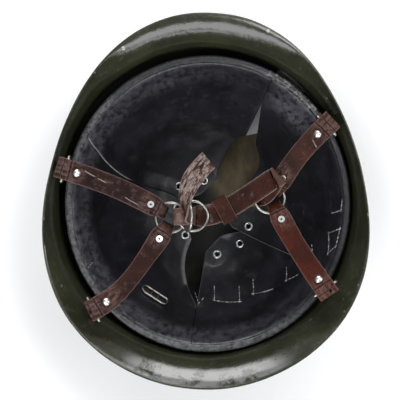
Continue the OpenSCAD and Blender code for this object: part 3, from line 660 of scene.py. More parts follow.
class HELMET_OT_shell(bpy.types.Operator):
    """Builds the shell with a rounded rim and slight unevenness"""
    bl_idname = "helmet.shell"
    bl_label = "Shell"

    def execute(self, context):
        shape, look = context.scene.helmet_shape, context.scene.helmet_look
        n, dent = shape.around, shape.dent
        heights = [WAIST * (1 - cos(pi / 2 * i / BOWL_ROWS)) for i in range(1, BOWL_ROWS + 1)]
        heights += [mix(WAIST, SHELL_H - RIM_R, i / BRIM_ROWS) for i in range(1, BRIM_ROWS + 1)]
        rim = [(SHELL_H - RIM_R + RIM_R * sin(radians(a)), STEEL * (1 - cos(radians(a))) / 2)
               for a in (30, 60, 90, 120, 150)]
        rings = [(z, 0.0) for z in heights] + rim + [(z, STEEL) for z in reversed(heights)]
        points = [(0.0, 0.0, 0.0)]
        for z, depth in rings:
            points += [shell_point(2 * pi * i / n, z, depth, dent) for i in range(n)]
        points.append((0.0, 0.0, STEEL))
        outside = 1 + n * (len(heights) + len(rim))
        inside = [0.0] * outside + [1.0] * (len(points) - outside)
        faces = grid_faces(len(rings), n, 1, wrap=True)
        last = 1 + (len(rings) - 1) * n
        faces += [(0, 1 + (i + 1) % n, 1 + i) for i in range(n)]
        faces += [(len(points) - 1, last + i, last + (i + 1) % n) for i in range(n)]
        obj = make_object("steel_shell", points, faces, {"inside": inside})
        finish_mesh(obj, olive_paint(look), 60)
        ride(obj, "helmet", ["shell"])
        heads = frame["nodes"]["shell_rivets"].data.materials
        heads.clear()
        heads.append(obj.data.materials[0])
        return {"FINISHED"}


# ---- Liner ----

ROLL_START = 0.92  # fraction out from which the leather rolls over the band
ROLL_RISE, ROLL_REACH = 9.5, 4.6  # pulls of the rolled leather's curve at its two ends, in millimetres
LEATHER_LIP, TONGUE_RUN = 0.6, 95  # rounding of a cut edge, length of a tongue, in millimetres
OVERLAP_RISE = 2.1  # rise of an end edge that lies on the next tongue
EYELET_HOLE = 3.9 - 1.1
CALM, CALM_RUN = 4.5, 8  # the leather stays flat that near an eyelet, and its folds grow over that run
PATCH_AT = 47  # direction of the brightest painted sheen


def tongue_point(a, f):
    """Point on the plain bowl of the tongues, in direction a, at fraction f of the way out."""
    mid = mix(LACE, MIDDLE, f)
    a = radians(a)
    z = TONGUE_Z - DEPTH * (1 - min(f, 1.0) ** SAG)
    return Vector((mid.x + TOP_W * f * cos(a), mid.y + TOP_L * f * sin(a), z))


def normal_of(surface, a, f, step):
    """Unit vector out of a surface's face, into the bowl."""
    round_it = surface(a + 1, f) - surface(a - 1, f)
    up_it = surface(a, min(f + step, 1)) - surface(a, f - step)
    return -round_it.cross(up_it).normalized()


def tongue_normal(a, f):
    return normal_of(tongue_point, a, f, 0.01)


def seam_at(k, f):
    """Direction in degrees of seam k at fraction f."""
    return SEAMS[k] + BULGE[k] * sin(pi * clamp((1 - f) / 0.7))


def parting(k, f):
    """How far seam k has opened at fraction f, from 0 to 1."""
    return clamp((APEX[k] - f) / APEX[k]) ** 1.2


def corner_at(row, f):
    """Degrees that a cut corner takes off at fraction f."""
    return row[0] * sin(pi / 2 * clamp((row[1] - f) / row[2]))


def tongue_edge(k, f, c):
    """Direction in degrees of the point at c from 0 to 1 across tongue k."""
    around = degrees(1 / (TOP_W * f))
    shut = ease((f - APEX[k]) / 0.03), ease((f - APEX[k + 1]) / 0.03)
    start = seam_at(k, f) + around * (GAP / 2 - mix(LAP_START[k], 0.56, shut[0]))
    end = seam_at(k + 1, f) - around * (GAP / 2 - mix(LAP_END[k], 0.56, shut[1]))
    start += START_DRAW[k] * parting(k, f) + corner_at(START_CORNER[k], f)
    end -= END_DRAW[k] * parting(k + 1, f) + corner_at(END_CORNER[k], f)
    return mix(start, end, c)


def spread(n, length, lip):
    """Places from 0 to 1 with extra ones close to both ends, where an edge is rounded."""
    ends = [0.0, 0.15 * lip / length, 0.45 * lip / length, lip / length, 3 * lip / length]
    middle = [mix(ends[-1], 1 - ends[-1], i / n) for i in range(1, n)]
    return ends + middle + [1 - e for e in reversed(ends)]


def round_off(distance, lip):
    """How far a rounded edge drops at that distance from it."""
    return 0.0 if distance >= lip else lip - sqrt(max(lip * lip - (lip - distance) ** 2, 0))


def eyelet_frame(a, f):
    turn = tongue_normal(a, f).to_track_quat("Z", "Y").to_matrix().to_4x4()
    return Matrix.Translation(tongue_point(a, f) * MM) @ turn


def leather_point(a, f):
    """Point on the visible leather, which rolls outwards over the band at the top."""
    if f <= ROLL_START:
        return tongue_point(a, f)
    p0 = tongue_point(a, ROLL_START)
    side = tongue_point(a, 1.0) - tongue_point(a, 0.9)
    out = Vector((side.x, side.y, 0)).normalized()
    p1 = p0 + side.normalized() * ROLL_RISE
    p3 = tongue_point(a, 1.0) + out * 0.35
    p3.z = EDGE_Z - 0.4
    p2 = p3 - out * ROLL_REACH - Vector((0, 0, 0.5))
    t = (f - ROLL_START) / (1 - ROLL_START)
    return p0 * (1 - t)**3 + p1 * 3 * t * (1 - t)**2 + p2 * 3 * t * t * (1 - t) + p3 * t**3


def leather_normal(a, f):
    if f <= ROLL_START - 0.01:
        return tongue_normal(a, f)
    return normal_of(leather_point, a, f, 0.004)


def edge_sheen(a):
    """How strong the painted sheen below the rolled edge is in that direction: stronger towards the left and
    the rear, weakest on the right.
    """
    a = radians(a)
    return clamp(0.42 + 0.5 * max(-cos(a), 0) + 0.35 * max(-sin(a), 0) - 0.35 * max(cos(a), 0))


def liner_relief(k, a, f, wrinkle):
    """Height of the soft folds, smaller near the eyelets and the top edge."""
    p = tongue_point(a, f)
    calm = ease((1.0 - f) / 0.12)
    for ea, ef in EYELETS[k]:
        calm *= ease(((p - tongue_point(ea, ef)).length - CALM) / CALM_RUN)
    folds = 0.7 * rough(p, 33, 7.0) + 0.3 * rough(p, 13, 2.0)
    return wrinkle * calm * folds


class HELMET_OT_liner(bpy.types.Operator):
    """Builds the four liner tongues and their rolled edge"""
    bl_idname = "helmet.liner"
    bl_label = "Liner"

    def execute(self, context):
        shape, look = context.scene.helmet_shape, context.scene.helmet_look
        leather = black_leather(look)
        for k, name in enumerate(TONGUES):
            self.tongue(k, name, shape, leather)
        self.binding(look)
        return {"FINISHED"}

    def tongue(self, k, name, shape, leather):
        down = [x for x in spread(40, TONGUE_RUN, LEATHER_LIP) if x > 0.12]
        down = sorted(set(down + [0.0065 * i for i in range(17)] + [0.112]))
        top, low, edge, sheen = [], [], [], []
        for r in down:
            f = mix(1, TIPS[k], r)
            wide = radians(tongue_edge(k, f, 1) - tongue_edge(k, f, 0))
            across = spread(54, max(wide * TOP_W * f, 8), LEATHER_LIP)
            for c in across:
                f = mix(1, TIPS[k] + 0.1 * (2 * c - 1) ** 2, r)
                a = tongue_edge(k, f, c)
                width = abs(radians(tongue_edge(k, f, 1) - tongue_edge(k, f, 0))) * TOP_W * f
                near, tip = min(c, 1 - c) * width, (1 - r) * TONGUE_RUN
                dip = max(round_off(near, LEATHER_LIP), round_off(tip, LEATHER_LIP))
                p, up = leather_point(a, f), leather_normal(a, f)
                lift = liner_relief(k, a, f, shape.wrinkle)
                if LAP_END[k] > 1:
                    lift += OVERLAP_RISE * ease(1.25 - (1 - c) * width / 12) * ease(r * 9)
                top.append(p + up * (lift - dip))
                low.append(p + up * (lift - LEATHER + dip))
                edge.append(self.paleness(k, f, c, near, tip))
                # Painted sheen below the rolled edge, with a brighter painted patch of it towards PATCH_AT.
                sheen_patch = 1.6 * ease(1.2 - abs(a % 360 - PATCH_AT) / 16) * ease((f - 0.82) / 0.09)
                sheen.append(max(ease((f - 0.86) / 0.08) * edge_sheen(a), sheen_patch))
        n, m, under = len(across), len(down), len(top)
        faces = grid_faces(m, n) + grid_faces(m, n, under, flip=True)
        rim = [*range(n)] + [r * n + n - 1 for r in range(1, m)]
        rim += [(m - 1) * n + c for c in range(n - 2, -1, -1)] + [r * n for r in range(m - 2, 0, -1)]
        faces += [(a, b, under + b, under + a) for a, b in zip(rim, rim[1:] + rim[:1])]
        obj = make_object(name + "_leather", top + low, faces, {"edge": edge * 2, "sheen": sheen * 2})
        finish_mesh(obj, leather, 60)
        boolean_holes(obj, [(eyelet_frame(a, f), EYELET_HOLE * MM) for a, f in EYELETS[k]])
        ride(obj, "helmet", [name])

    def paleness(self, k, f, c, near, tip):
        """How pale the cut edge is, from its distances in millimetres to the side and to the tip."""
        pale = PALE[k][c >= 0.5] * (1 - ease((f - APEX[k + (c > 0.5)]) / 0.03))
        if k == 0 and c > 0.5:
            pale *= ease((f - 0.62) / 0.06)
        broad = 2.8 if k == 1 and c > 0.5 and f < 0.6 else 0.45
        return max(ease(1.6 - near / broad) * pale, ease(1.6 - tip / 0.7) * 0.25)

    def binding(self, look):
        n, steps = 260, 18
        w, l = LINER_W - ROLL, LINER_L - ROLL
        points = []
        for t in [2 * pi * i / n for i in range(n)]:
            c = Vector((MIDDLE.x + w * cos(t), MIDDLE.y + l * sin(t)))
            out = Vector((l * cos(t), w * sin(t))).normalized()
            for a in [2 * pi * j / steps for j in range(steps)]:
                across, rise = ROLL * cos(a), ROLL * sin(a)
                size = 1 + 0.06 * rough((c.x, c.y, 20 * a), 6, 1.0)
                size += 0.04 * rough((c.x, c.y, 9 * a), 2.5, 5.0)
                # It may stand out over the tongues, but not towards the shell.
                across, size = (across, min(size, 1.0)) if across > 0 else (across * 1.9, size)
                q = c + out * across * size
                points.append((q.x, q.y, EDGE_Z + rise * size))
        obj = make_object("rolled_edge", points, grid_faces(n, steps, wrap=True, close=True))
        finish_mesh(obj, binding_leather(look), 80)
        ride(obj, "helmet", ["liner_edge_binding"])


# ---- Harness ----

def curve(path, t):
    """Point on a rounded bend from the first point to the third, drawn towards the second."""
    a, b, c = (1 - t) ** 2, 4 * t * (1 - t), t * t
    total = a + b + c
    return Vector(((a * path[0][0] + b * path[1][0] + c * path[2][0]) / total,
                   (a * path[0][1] + b * path[1][1] + c * path[2][1]) / total))


class Path:
    """Bent strap axis in plan, measured from its outer end in millimetres."""
    steps = 32

    def __init__(self, points):
        self.points = points
        self.runs = [0.0]
        for n in range(self.steps):
            step = curve(points, (n + 1) / self.steps) - curve(points, n / self.steps)
            self.runs.append(self.runs[-1] + step.length)
        self.length = self.runs[-1]

    def at(self, s):
        for n, (start, end) in enumerate(zip(self.runs, self.runs[1:])):
            if s <= end:
                return curve(self.points, max(n + (s - start) / (end - start), 0) / self.steps)
        return curve(self.points, 1.0)

    def along(self, s):
        return (self.at(min(s + 0.5, self.length)) - self.at(max(s - 0.5, 0))).normalized()


class Strap:
    """One harness strap from its anchor bar to its junction ring."""

    def __init__(self, i):
        ring = RINGS[i // 2]
        self.path = Path((OUTER[i], BENDS[i], (ring.x + AIMS[i][0], ring.y + AIMS[i][1])))
        low, high = 0.0, self.path.length
        for _ in range(20):
            middle = (low + high) / 2
            far = (self.path.at(middle) - ring).length > RING_R
            low, high = (middle, high) if far else (low, middle)
        self.wire = (low + high) / 2
        self.end = self.wire + 7
        self.bar_s, self.rivet_s = BAR_IN[i], BAR_IN[i] + RIVET_IN[i]
        self.slim = SLIM[i]
        self.bar, self.inward = self.path.at(self.bar_s), self.path.along(self.bar_s)
        self.reach = (self.path.at(self.wire) - self.bar).dot(self.inward)

    def plane_z(self, p):
        """Height of the strap's slanting plane over a point."""
        return BAR_Z - DROP * (p - self.bar).dot(self.inward) / self.reach

    def profile(self):
        """The strap's middle line round both folded ends, as (place along it, height over the plane)."""
        q, w, e = self.rivet_s, self.wire, self.end
        out = [(mix(q + 7, q - 3.1, k / 2), -LIE) for k in range(3)] + [(q - 5, -BAR_ROOM)]
        s = BAR_ROOM + STRAP_T / 2
        out += [(s + BAR_ROOM * cos(radians(a)), BAR_ROOM * sin(radians(a))) for a in range(270, 89, -30)]
        out += [(q - 5, BAR_ROOM)] + [(mix(q - 3.1, w - 4.4, k / 9), LIE) for k in range(10)]
        out += [(w - 2.2, RING_ROOM)]
        s = e - RING_ROOM - STRAP_T / 2
        out += [(s + RING_ROOM * cos(radians(a)), RING_ROOM * sin(radians(a))) for a in range(90, -91, -30)]
        return out + [(w - 2.2, -RING_ROOM)] + [(mix(w - 4.4, w - 12.5, k / 2), -LIE) for k in range(3)]

    def station(self, s, h):
        c, d = self.path.at(s), self.path.along(s)
        a = Vector((d.y, -d.x))
        left = self.end - s
        waist = 1 - self.slim * sin(pi * clamp((s - self.rivet_s) / (self.wire - 8 - self.rivet_s)))
        width = STRAP_W * waist * (1 if left > 12 else mix(0.57, 1, max(left, 0) / 12))
        return (c.x, c.y, self.plane_z(c) + h, a.x, a.y, self.plane_z(c + a) - self.plane_z(c), width)


STRAP_LOOKS = (  # tint factors, wear, where each strap is rubbed palest (x, y, radius), and its scars
    ((0.50, 0.70, 1.1), 0.5, ((-108, 24, 14), (-43, -6, 10)),
     ((-92, 23, -83, 18), (-82, 17.5, -75, 13), (-62, 3, -51, -3))),
    ((0.75, 0.85, 1.1), 0.3, ((-90, -84, 12), (-74, -72, 9), (-37, -26, 8)), ((-74, -64, -66, -60),)),
    ((1.10, 1.3, 1.4), 0.25, ((92, 57, 11), (58, 20, 7)), ((84, 40, 80, 47),)),
    ((1.5, 0.93, 0.6), 0.2, ((91, -69, 12), (59, -13, 8)), ()),
)
STRAP_PALE, KEEPER_PALE = (0.19, 0.115, 0.10), (0.20, 0.12, 0.10)
CHIN_RUB_AND_HIGHLIGHT, CHIN_TINT = (0.50, 0.40, 0.36), (0.95, 0.8, 0.75)
WORN_TINT, WORN_PALE = (0.12, 0.06, 0.052), (0.30, 0.21, 0.19)
END_HOLES = {"rear_left_strap": (-86.7, -83.2), "rear_right_strap": (93.6, -67.4)}  # pierced outer ends
END_HOLE_R = 1.2


class HELMET_OT_straps(bpy.types.Operator):
    """Builds the four harness straps"""
    bl_idname = "helmet.straps"
    bl_label = "Harness straps"

    def execute(self, context):
        shape, look = context.scene.helmet_shape, context.scene.helmet_look
        for i, name in enumerate(STRAPS):
            strap = Strap(i)
            rows = smooth_line([strap.station(s, h) for s, h in strap.profile()], shape.step)
            obj = ribbon(name + "_leather", rows, shape.curl, 3.0 + 5 * i)
            tint, wear, centres, scars = STRAP_LOOKS[i]
            tint = [c * t for c, t in zip(look.strap, tint)]
            creases = []
            for s, wide in ((strap.bar_s + 4.1, 0.8), (strap.bar_s - 1.6, 0.45), (strap.end - 7.5, 0.7)):
                p, d = strap.path.at(s), strap.path.along(s)
                creases.append((p.x - 9 * d.y, p.y + 9 * d.x, p.x + 9 * d.y, p.y - 9 * d.x, wide))
            coat = brown_leather(name + "_leather", tint, wear, STRAP_PALE, centres, scars, creases)
            finish_mesh(obj, coat, 70)
            if name in END_HOLES:
                spot = Vector((*END_HOLES[name], BAR_Z + 1)) * MM
                boolean_holes(obj, [(Matrix.Translation(spot), END_HOLE_R * MM)])
            ride(obj, node_body(name), [name])
        return {"FINISHED"}


# The chin strap's axis in plan, its layers' heights over the rings, and the places of its two loops.
CHIN = Path(((54, 19), (10.8, -11.3), (-6, -11.3)))
CHIN_REST = BUCKLE_RISE - WIRE - 0.3 - STRAP_T / 2
LOW_REST = CHIN_REST - STRAP_T - 0.3
KEEPER_S = CHIN.length - 21
LOOP_X = RINGS[0].x + RING_R - 1.9
# Free part of the chin strap round the right ring: x, y, height over the rings, direction, width.
CHIN_TURN = ((28.2, 1.6, LOW_REST, 22, 15), (31.4, 1.8, -1.3, 12, 14), (34.4, 2, -RING_ROOM, 5, 12.5),
             (37.8, 2.1, -RING_ROOM, 4, 12), (40.4, 2.1, -RING_ROOM + .5, 4, 12),
             (41.9, 2.1, -RING_ROOM + 1.8, 4, 12), (42.3, 2.1, -.2, 4, 12), (42.3, 2.2, 1.4, 6, 12),
             (42.6, 2.4, 3.6, 16, 12.5), (43.6, 3.2, 5.8, 30, 13), (46, 5.6, 7.6, 44, 14),
             (48.6, 9.8, 8.4, 52, 15), (51, 14, 8.8, 52, 16))
# Its upper layer, as (place along the path, height over the rings).
CHIN_TOP = ((5, 11.8), (12, 11.2), (19, 9.4), (25, 6.4), (29.5, 3.6),
            *((s, CHIN_REST) for s in (33, 38, 43, 48, 54, 60, CHIN.length)))
# Its twisted tail: x, y, height over the rings, direction across it, width.
CHIN_TAIL = ((-8.6, -11.2, 2.7, 0, -1, 0, 14.5), (-10.2, -11.2, 3.7, 0, -1, 0, 13),
             (-10.9, -11.3, 6, 0, -1, 0, 12.5), (-11, -11.6, 10, 0, -1, 0, 12.5),
             (-12.6, -11.6, 13.5, .1, -1, .1, 12.5), (-15.3, -10, 16.6, .2, -1, .2, 12),
             (-15.9, -5.5, 20, .4, -.9, .35, 11), (-15.7, .8, 22.8, .75, -.6, .35, 11),
             (-14.2, 7, 24.8, .88, -.45, .2, 12.5), (-11.6, 14, 25.8, .9, -.42, -.1, 14.5),
             (-6.6, 21.3, 25.8, .8, -.6, -.3, 16), (-2.2, 26.6, 25.1, .68, -.72, -.35, 16),
             (2, 30.6, 24, .5, -.86, -.3, 16))


def chin_station(s, h, width=STRAP_W):
    c, d = CHIN.at(s), CHIN.along(s)
    return (c.x, c.y, RING_Z + h, d.y, -d.x, 0.0, width)


def free_station(x, y, z, turn, width):
    return (x, y, RING_Z + z, sin(radians(turn)), -cos(radians(turn)), 0.0, width)


def chin_stations():
    """Stations of the chin strap from its lower layer round the ring and fold to the tail's end."""
    out = [chin_station(KEEPER_S + k, LOW_REST, 15) for k in (9, 4, -1, -6, -10)]
    out += [free_station(*row) for row in CHIN_TURN]
    for k in range(6):
        a = radians(36 * k)
        x, y, z = 53 + 1.8 * sin(a), 17.6 + 1.5 * sin(a), 10.4 - 1.6 * cos(a)
        out.append(free_station(x, y, z, mix(50, 36, k / 5), 16))
    out += [chin_station(s, h) for s, h in CHIN_TOP]
    for x, y, z, ax, ay, az, width in CHIN_TAIL:
        size = sqrt(ax * ax + ay * ay + az * az)
        out.append((x, y, RING_Z + z, ax / size, ay / size, az / size, width))
    return out


def rounded_box(half, low, high, radius, steps):
    """Closed line round a box with rounded corners, anticlockwise."""
    x = half - radius
    out = []
    for u, v, start in ((x, low + radius, 270), (x, high - radius, 0),
                        (-x, high - radius, 90), (-x, low + radius, 180)):
        for k in range(steps + 1):
            a = radians(start + 90 * k / steps)
            out.append((u + radius * cos(a), v + radius * sin(a)))
    return out


def leather_loop(name, line, turn, place, width, thick, seed):
    """Closed leather loop along its middle line, which is swept by its width, turned and placed."""
    section = ribbon_section(width, thick, 0.5, 7)
    points, side, flesh, uvs, run = [], [], [], [], 0.0
    for i, (x, y) in enumerate(line):
        before, after = Vector(line[i - 1]), Vector(line[(i + 1) % len(line)])
        out = Vector((after.y - before.y, before.x - after.x)).normalized()
        run += (Vector((x, y)) - before).length
        for u, v, edge in section:
            bulge = 0.12 * rough((x, y, u), 6, seed)
            q = Vector((x, y)) + out * (v + bulge * (v > 0))
            points.append(turn @ Vector((q.x, q.y, u)) + place)
            side.append(edge)
            flesh.append(1.0 if v < 0 else 0.0)
            uvs.append((u * MM * 0.9, run * MM))
    faces = grid_faces(len(line), len(section), wrap=True, close=True)
    return make_object(name, points, faces, {"side": side, "flesh": flesh}, uvs)


class HELMET_OT_chin_strap(bpy.types.Operator):
    """Builds the chin strap, its keeper and the buckle loop"""
    bl_idname = "helmet.chin_strap"
    bl_label = "Chin strap"

    def execute(self, context):
        shape, look = context.scene.helmet_shape, context.scene.helmet_look
        obj = ribbon("chin_strap_leather", smooth_line(chin_stations(), shape.step), 0.1, 31.0)
        tint = [c * t for c, t in zip(look.strap, CHIN_TINT)]
        # The pale colour and the pale streaks round the tail are rubbed leather and partly a painted
        # highlight on the twisted tail.
        coat = brown_leather("chin_leather", tint, 0.2, CHIN_RUB_AND_HIGHLIGHT, centres=((-9, 17, 20),), cut_edge=0.6)
        finish_mesh(obj, coat, 70)
        ride(obj, node_body("chin_strap"), ["chin_strap"])
        self.keeper(look)
        self.loop()
        return {"FINISHED"}

    def keeper(self, look):
        c, d = CHIN.at(KEEPER_S), CHIN.at(KEEPER_S - 6) - CHIN.at(KEEPER_S + 1)
        turn = Matrix.Rotation(atan2(d.y, d.x), 3, "Z") @ Matrix(((0, 0, 1), (1, 0, 0), (0, 1, 0)))
        low, high = LOW_REST - STRAP_T / 2 - 0.9, CHIN_REST + STRAP_T / 2 + 1
        half = (STRAP_W + 2.4) / 2 + 0.7
        line = rounded_box(half, low - 0.7, high + 0.7, 1.3, 6)
        obj = leather_loop("keeper_leather", line, turn, Vector((c.x, c.y, RING_Z)), 11.5, 1.4, 17.0)
        finish_mesh(obj, brown_leather("keeper_leather", look.strap, 0.35, KEEPER_PALE), 70)
        ride(obj, node_body("keeper_loop"), ["keeper_loop"])

    def loop(self):
        left, right = LOOP_X - 5.2, LOOP_X + 0.7 + WIRE + 0.3 + 1.5
        low, high = RING_Z - WIRE - 0.3 - 1.2, RING_Z + BUCKLE_RISE + WIRE + 4.1
        turn = Matrix(((1, 0, 0), (0, 0, -1), (0, 1, 0)))
        half = (right - left) / 2 + 0.9
        line = rounded_box(half, low - 0.9, high + 0.9, half * 0.98, 12)
        place = Vector(((left + right) / 2, RINGS[0].y + 0.8, 0))
        obj = leather_loop("buckle_loop_leather", line, turn, place, 13.0, 1.8, 23.0)
        finish_mesh(obj, brown_leather("buckle_loop_leather", WORN_TINT, 0.9, WORN_PALE), 70)
        ride(obj, node_body("buckle_loop"), ["buckle_loop"])


# ---- Stitches ----

STITCH_RUNS = (  # thread runs on the liner, as (direction, fraction of the way out)
    ((274.6, .596), (274, .702), (289, .74), (292.1, .642)),
    ((302.8, .646), (298.5, .73), (308.3, .78)),
    ((323.1, .75), (317.5, .809), (322.9, .847)),
    ((339.6, .842), (334.1, .874)),
    ((347.2, .923), (349.7, .99), (342.3, .99), (338.4, .958), (347.2, .923)),
    ((356.2, .93), (357.3, .985), (361.1, .99)),
    ((261.2, .655), (264.2, .722), (266.5, .69)),
    ((207, .985), (206, .955)),
)


THREAD_SIZES = {"Pitch": 0.0031, "Thread length": 0.0033, "Thread radius": 0.00046}
THREAD_SEED = 7


def stitch_group(material):
    """Node group that lays short tapered threads end to end along the edges of a mesh."""
    group = bpy.data.node_groups.new("Stitches along lines", "GeometryNodeTree")
    face = group.interface
    face.new_socket("Geometry", in_out="INPUT", socket_type="NodeSocketGeometry")
    for name, value in THREAD_SIZES.items():
        face.new_socket(name, in_out="INPUT", socket_type="NodeSocketFloat").default_value = value
    face.new_socket("Seed", in_out="INPUT", socket_type="NodeSocketInt").default_value = THREAD_SEED
    face.new_socket("Geometry", in_out="OUTPUT", socket_type="NodeSocketGeometry")

    def node(kind, inputs=(), settings=None):
        return add_node(group, kind, settings, inputs).outputs

    into = node("NodeGroupInput")
    lines = node("GeometryNodeMeshToCurve", {"Mesh": into["Geometry"]})["Curve"]
    dots = node("GeometryNodeCurveToPoints", {"Curve": lines, "Length": into["Pitch"]}, {"mode": "LENGTH"})
    ball = node("GeometryNodeMeshUVSphere", {"Segments": 10, "Rings": 8, "Radius": 1.0})["Mesh"]
    ball = node("GeometryNodeSetShadeSmooth", {"Geometry": ball})[0]
    half = node("ShaderNodeMath", (into["Thread length"], 0.5), {"operation": "MULTIPLY"})[0]
    wide = into["Thread radius"]
    size = node("ShaderNodeCombineXYZ", (wide, wide, half))[0]
    share = {"Seed": into["Seed"], 2: 0.85, 3: 1.15}
    spin = node("FunctionNodeRandomValue", share, {"data_type": "FLOAT"})[1]
    grown = node("ShaderNodeVectorMath", {0: size, "Scale": spin}, {"operation": "SCALE"})[0]
    places = {"Points": dots["Points"], "Instance": ball, "Rotation": dots["Rotation"], "Scale": grown}
    laid = node("GeometryNodeInstanceOnPoints", places)["Instances"]
    real = node("GeometryNodeRealizeInstances", {"Geometry": laid})["Geometry"]
    coat = node("GeometryNodeSetMaterial", {"Geometry": real, "Material": material})["Geometry"]
    node("NodeGroupOutput", (coat,))
    return group


def tongue_at(a):
    """Number of the tongue that lies in that direction in degrees."""
    a = a if a >= SEAMS[0] else a + 360
    return next(k for k in range(4) if SEAMS[k] <= a <= SEAMS[k + 1])


class HELMET_OT_stitches(bpy.types.Operator):
    """Lays the thread stitches on the liner"""
    bl_idname = "helmet.stitches"
    bl_label = "Liner stitches"

    def execute(self, context):
        wrinkle = context.scene.helmet_shape.wrinkle
        points, edges = [], []
        for line in STITCH_RUNS:
            for (a0, f0), (a1, f1) in zip(line, line[1:]):
                for i in range(7):
                    a, f = mix(a0, a1, i / 6), mix(f0, f1, i / 6)
                    lift = liner_relief(tongue_at(a), a, f, wrinkle) + 0.35
                    points.append((leather_point(a, f) + leather_normal(a, f) * lift) * MM)
                    if i:
                        edges.append((len(points) - 2, len(points) - 1))
        mesh = bpy.data.meshes.new("liner_thread")
        mesh.from_pydata(points, edges, [])
        obj = add_object("liner_thread", mesh)
        laid = obj.modifiers.new("Stitches", "NODES")
        laid.node_group = stitch_group(thread())
        for item in laid.node_group.interface.items_tree:
            if item.item_type == "SOCKET" and item.in_out == "INPUT" and item.name == "Seed":
                laid[item.identifier] = THREAD_SEED
        bake(obj)
        ride(obj, "helmet", ["liner_stitches"])
        return {"FINISHED"}


# ---- Fittings ----

FITTINGS = {
    "ring_steel": [corner + "_anchor_ring" for corner in CORNERS]
    + ["left_junction_ring", "right_junction_ring", "flat_buckle_ring", "upright_buckle_ring", "spring_clip"],
    "rivet_steel": [corner + "_strap_rivets" for corner in CORNERS],
    "liner_steel": ["liner_band", "rivet_spacers"] + [corner + "_lug" for corner in CORNERS],
}
# Half section of a tongue's eyelet, as (radius, height over the leather's middle bowl) in millimetres.
EYELET_SECTION = ((2.0, -1.9), (2.0, .5), (2.12, .85), (2.4, 1.12), (2.8, 1.25), (3.25, 1.18), (3.6, .95),
                  (3.85, .6), (3.85, .4), (2.6, .38), (2.6, -1.9))
EYELET_STEPS = 40


class HELMET_OT_fittings(bpy.types.Operator):
    """Gives the metal fittings their materials"""
    bl_idname = "helmet.fittings"
    bl_label = "Fittings"

    def execute(self, context):
        made = {"ring_steel": plated_steel("ring_steel", (0.46, 0.45, 0.41), 0.24, 0.7),
                "rivet_steel": plated_steel("rivet_steel", (0.95, 0.95, 0.94), 0.34, 0.12),
                "liner_steel": dark_steel()}
        for key, nodes in FITTINGS.items():
            for node in nodes:
                coat_mesh(frame["nodes"][node].data, made[key], 35)
        self.eyelets(made["rivet_steel"])
        return {"FINISHED"}

    def eyelets(self, steel):
        """Domed rings in the tongues, turned about the leather's normal."""
        turns = [2 * pi * i / EYELET_STEPS for i in range(EYELET_STEPS)]
        points, faces = [], []
        for a, f in [spot for row in EYELETS for spot in row]:
            place = eyelet_frame(a, f)
            faces += grid_faces(EYELET_STEPS, len(EYELET_SECTION), len(points), wrap=True, close=True)
            for t in turns:
                points += [place @ (Vector((r * cos(t), r * sin(t), z)) * MM) / MM for r, z in EYELET_SECTION]
        obj = make_object("eyelet_rings", points, faces)
        finish_mesh(obj, steel, 40)
        ride(obj, "helmet", ["tongue_eyelets"])


# ---- Stage ----

def area_light(name, power, size, place, target, colour=(1, 1, 1)):
    data = bpy.data.lights.new(name, "AREA")
    data.shape, data.size, data.size_y = "RECTANGLE", *size
    data.energy, data.color = power, colour
    obj = add_object(name, data)
    obj.location = place
    obj.rotation_euler = (Vector(target) - Vector(place)).to_track_quat("-Z", "Y").to_euler()


FLOOR = 4000  # half the floor's width in millimetres
CAMERA, LENS = (-0.0045, 0.00075), 131.3


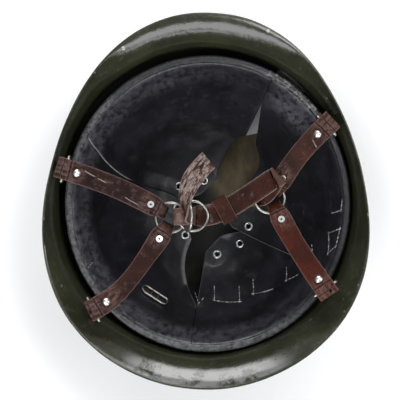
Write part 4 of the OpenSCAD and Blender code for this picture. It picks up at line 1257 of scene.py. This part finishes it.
class HELMET_OT_stage(bpy.types.Operator):
    """Sets up the floor, the lights and the camera above the helmet"""
    bl_idname = "helmet.stage"
    bl_label = "Stage"

    def execute(self, context):
        scene, stage = context.scene, context.scene.helmet_stage
        corners = [(x * FLOOR, y * FLOOR, 0) for x, y in ((-1, -1), (1, -1), (1, 1), (-1, 1))]
        floor = make_object("floor", corners, [(0, 1, 2, 3)])
        paper = Shader("paper", Roughness=0.9, Specular_IOR_Level=0.1)
        # Away from the helmet and past the reach of the lamps, the paper shows white to the camera.
        away = paper.distance(0, -45).ramp(150, 205) * 0.24 + paper.distance(0, 0).ramp(350, 1300) * 0.5
        seen = paper.node("ShaderNodeLightPath", out="Is Camera Ray") * away
        paper.set(Base_Color=paper.blend(paper.noise(60, 2), (0.92, 0.92, 0.92), (0.94, 0.94, 0.94)),
                  Emission_Color=paper.blend(seen, (0, 0, 0), (1, 1, 1)), Emission_Strength=1.0)
        floor.data.materials.append(paper.material)
        self.world(scene, stage)
        area_light("overhead", stage.key, (0.9, 0.9), (0.45, 0.5, 1.7), (0, 0, 0.1))
        area_light("fill", stage.fill, (0.7, 0.7), (-0.55, -0.65, 1.6), (0, 0, 0.1))
        area_light("low_rear", stage.front, (2.6, 0.7), (0.0, -1.4, 0.55), (0, 0.1, 0.15), (0.96, 0.96, 1.0))
        area_light("low_front", stage.rear, (1.2, 0.8), (0.0, 1.4, 0.62), (0, -0.1, 0.15))
        area_light("low_right", stage.right, (0.4, 1.0), (1.25, 0.0, 0.7), (-0.05, 0, 0.12))
        data = bpy.data.cameras.new("camera")
        data.lens, data.sensor_width, data.clip_end = LENS, 36.0, 20
        camera = add_object("camera", data)
        camera.location = (*CAMERA, stage.camera_z)
        scene.camera = camera
        scene.view_settings.view_transform = "Standard"
        return {"FINISHED"}

    def world(self, scene, stage):
        """Even room light, seen by the camera as white."""
        world = bpy.data.worlds.new("room")
        world.use_nodes = True
        tree = world.node_tree
        tree.nodes.clear()
        light = add_node(tree, "ShaderNodeBackground", None, ((0.95, 0.97, 1.0), stage.world))
        white = add_node(tree, "ShaderNodeBackground", None, ((1, 1, 1),))
        path = add_node(tree, "ShaderNodeLightPath")
        shown = (path.outputs["Is Camera Ray"], light.outputs[0], white.outputs[0])
        pick = add_node(tree, "ShaderNodeMixShader", None, shown)
        add_node(tree, "ShaderNodeOutputWorld", None, (pick.outputs[0],))
        scene.world = world


class HELMET_PT_panel(bpy.types.Panel):
    """Sidebar panel of the helmet"""
    bl_idname = "HELMET_PT_panel"
    bl_label = "Steel helmet"
    bl_space_type = "VIEW_3D"
    bl_region_type = "UI"
    bl_category = "Helmet"

    def draw(self, context):
        for group in (context.scene.helmet_shape, context.scene.helmet_look, context.scene.helmet_stage):
            box = self.layout.box()
            for key in group.__annotations__:
                box.prop(group, key)
        for operator in OPERATORS:
            self.layout.operator(operator.bl_idname)


OPERATORS = (HELMET_OT_stage, HELMET_OT_shell, HELMET_OT_liner, HELMET_OT_straps,
             HELMET_OT_chin_strap, HELMET_OT_stitches, HELMET_OT_fittings)
CLASSES = (HelmetShape, HelmetLook, HelmetStage, *OPERATORS, HELMET_PT_panel)


def register():
    for item in CLASSES:
        bpy.utils.register_class(item)
    bpy.types.Scene.helmet_shape = PointerProperty(type=HelmetShape)
    bpy.types.Scene.helmet_look = PointerProperty(type=HelmetLook)
    bpy.types.Scene.helmet_stage = PointerProperty(type=HelmetStage)


def unregister():
    del bpy.types.Scene.helmet_shape, bpy.types.Scene.helmet_look, bpy.types.Scene.helmet_stage
    for item in reversed(CLASSES):
        bpy.utils.unregister_class(item)


def main():
    register()
    for call in (bpy.ops.helmet.stage, bpy.ops.helmet.shell, bpy.ops.helmet.liner, bpy.ops.helmet.straps,
                 bpy.ops.helmet.chin_strap, bpy.ops.helmet.stitches, bpy.ops.helmet.fittings):
        if call() != {"FINISHED"}:
            raise RuntimeError("A piece wasn't finished")


if __name__ == "__main__":
    main()
